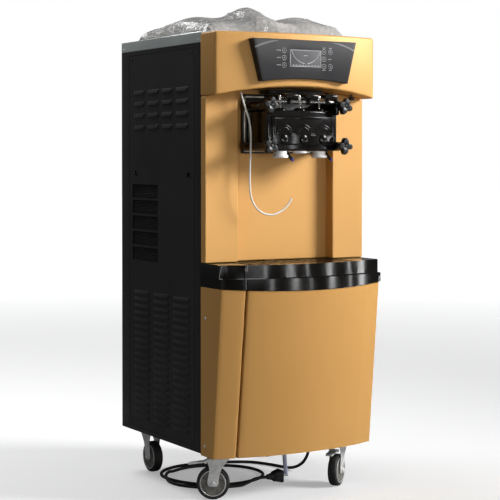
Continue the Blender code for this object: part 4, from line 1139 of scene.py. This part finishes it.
# Casters: black rubber tyres on grey discs, in pressed and plated forks that swivel on ball
# races. The front two have a pressed pedal for their brakes.
HUB_GREY = finish("grey_nylon_hub", (0.16, 0.15, 0.13), 0.55)
tint(HUB_GREY, 75.0, (0.09, 0.085, 0.075), (0.25, 0.23, 0.2))
wear(HUB_GREY, 70.0, 0.4, 0.65)
trail, wheel_radius = 0.026, 0.0475
caster_places = {"front_left": (-0.202, -0.169, 148.0), "front_right": (0.202, -0.169, 218.0),
    "rear_left": (-0.202, 0.3, 270.0), "rear_right": (0.202, 0.3, 350.0)}
for label, (x, y, heading) in caster_places.items():
    spot, aim = (x, y, 0), (0, 0, math.radians(heading))
    axle = (trail, 0, wheel_radius)
    tyre = lathe(f"{label}_tyre", [(0.033, -0.0132), (0.04, -0.0135), (0.044, -0.0128), (0.0466, -0.0105),
        (0.0475, -0.007), (0.0475, 0.007), (0.0466, 0.0105), (0.044, 0.0128), (0.04, 0.0135),
        (0.033, 0.0132)], axle, 64, forwards)
    done(stand(tyre, spot, aim), RUBBER, f"caster_wheel_{label}", "rubber", f"caster_wheel_{label}")
    disc = lathe(f"{label}_hub", [(0.006, -0.0152), (0.0115, -0.015), (0.0125, -0.0138), (0.031, -0.0132),
        (0.035, -0.0144), (0.0375, -0.014), (0.0375, 0.014), (0.035, 0.0144), (0.031, 0.0132),
        (0.0125, 0.0138), (0.0115, 0.015), (0.006, 0.0152)], axle, 64, forwards)
    done(stand(disc, spot, aim), HUB_GREY, f"caster_wheel_{label}", "rubber")
    ring = [lathe("ring", [(0.0352, side * 0.0142), (0.0358, side * 0.0148), (0.0372, side * 0.0148),
        (0.0378, side * 0.014), (0.0352, side * 0.0138), (0.0352, side * 0.0142)], axle, 64, forwards,
        caps=False) for side in (-1, 1)]
    ring = unite(f"{label}_rim_rings", ring)
    done(stand(ring, spot, aim), ZINC, f"caster_wheel_{label}", "zinc_plate")
    fork = [lathe("race", [(0.015, 0.1175), (0.0235, 0.118), (0.0255, 0.12), (0.0255, 0.1222),
        (0.0228, 0.124), (0.0228, 0.1262), (0.0255, 0.1278), (0.0255, 0.131), (0.0245, 0.1324),
        (0.01, 0.1325)], (0, 0, 0), 40)]
    crown = block("crown", (-0.022, -0.019, 0.1165), (0.044, 0.019, 0.1195))
    for side in (-1, 1):
        leg = block("leg", (-0.022, side * 0.01775 - 0.00125, 0.039),
            (0.046, side * 0.01775 + 0.00125, 0.119))
        ends = leg.data.vertices
        choose(leg, "EDGE",
            lambda edge: abs(ends[edge.vertices[0]].co.z - ends[edge.vertices[1]].co.z) > 0.01)
        bpy.ops.mesh.subdivide(number_cuts=7)
        bpy.ops.object.mode_set(mode="OBJECT")
        for at in corners(leg):
            down = max(0, (0.119 - at.z) / 0.08)
            middle = 0.012 + (trail - 0.012) * min(1, down * 1.25)
            reach = 0.034 - 0.018 * min(1, down * 2.4) ** 0.8
            if down > 0.9:
                reach *= 0.72
            at.x = middle + (reach if at.x > 0.012 else -reach)
        fork.append(round_edges(leg, 0.0008, 2))
        fork.append(lathe("nut", [(0.0078, 0.019), (0.0078, 0.0232), (0.0062, 0.024), (0.004, 0.024),
            (0.0038, 0.0256)], axle, 6, (-side * math.pi / 2, 0, 0)))
    fork.append(round_edges(crown, 0.001, 2))
    fork = unite(f"{label}_caster_fork", fork)
    done(stand(fork, spot, aim), ZINC, f"caster_fork_{label}", "zinc_plate", f"caster_fork_{label}")
    if label.startswith("front"):
        tread = block("tread", (0, -0.0115, -0.0026), (0.05, 0.0115, 0.002))
        slice_across(tread, 9)
        for at in corners(tread):
            at.z -= 0.006 * (at.x / 0.05) ** 1.2
            if at.x > 0.046:
                at.y *= 0.8
        round_edges(tread, 0.001, 2)
        pin = lathe("pin", [(0.0036, -0.015), (0.0045, -0.0145), (0.0045, 0.0145), (0.0036, 0.015)],
            (0, 0, 0), 24, forwards)
        pedal = stand(unite(f"{label}_brake_pedal", [tread, pin]), (0.047, 0, 0.1085))
        done(stand(pedal, spot, aim), ZINC, f"brake_pedal_{label}", "zinc_plate", f"brake_pedal_{label}")

# Inside the cabinet: two freezing cylinders with white beaters and one gear motor, over the
# compressor, the condenser and its fan.
ALUMINIUM = finish("cast_aluminium", (0.62, 0.63, 0.64), 0.42, 1)
tint(ALUMINIUM, 40.0, (0.54, 0.55, 0.56), (0.68, 0.69, 0.7))
relief(ALUMINIUM, 300.0, 0.2, 0.0003)
for label in ("left", "right"):
    dress(f"freezing_cylinder_{label}", STEEL)
    dress(f"beater_{label}", WHITE)
dress("gear_motor", ALUMINIUM)
dress("compressor", BLACK_STEEL)
dress("condenser", ALUMINIUM)
dress("condenser_fan", BLACK_MATTE)
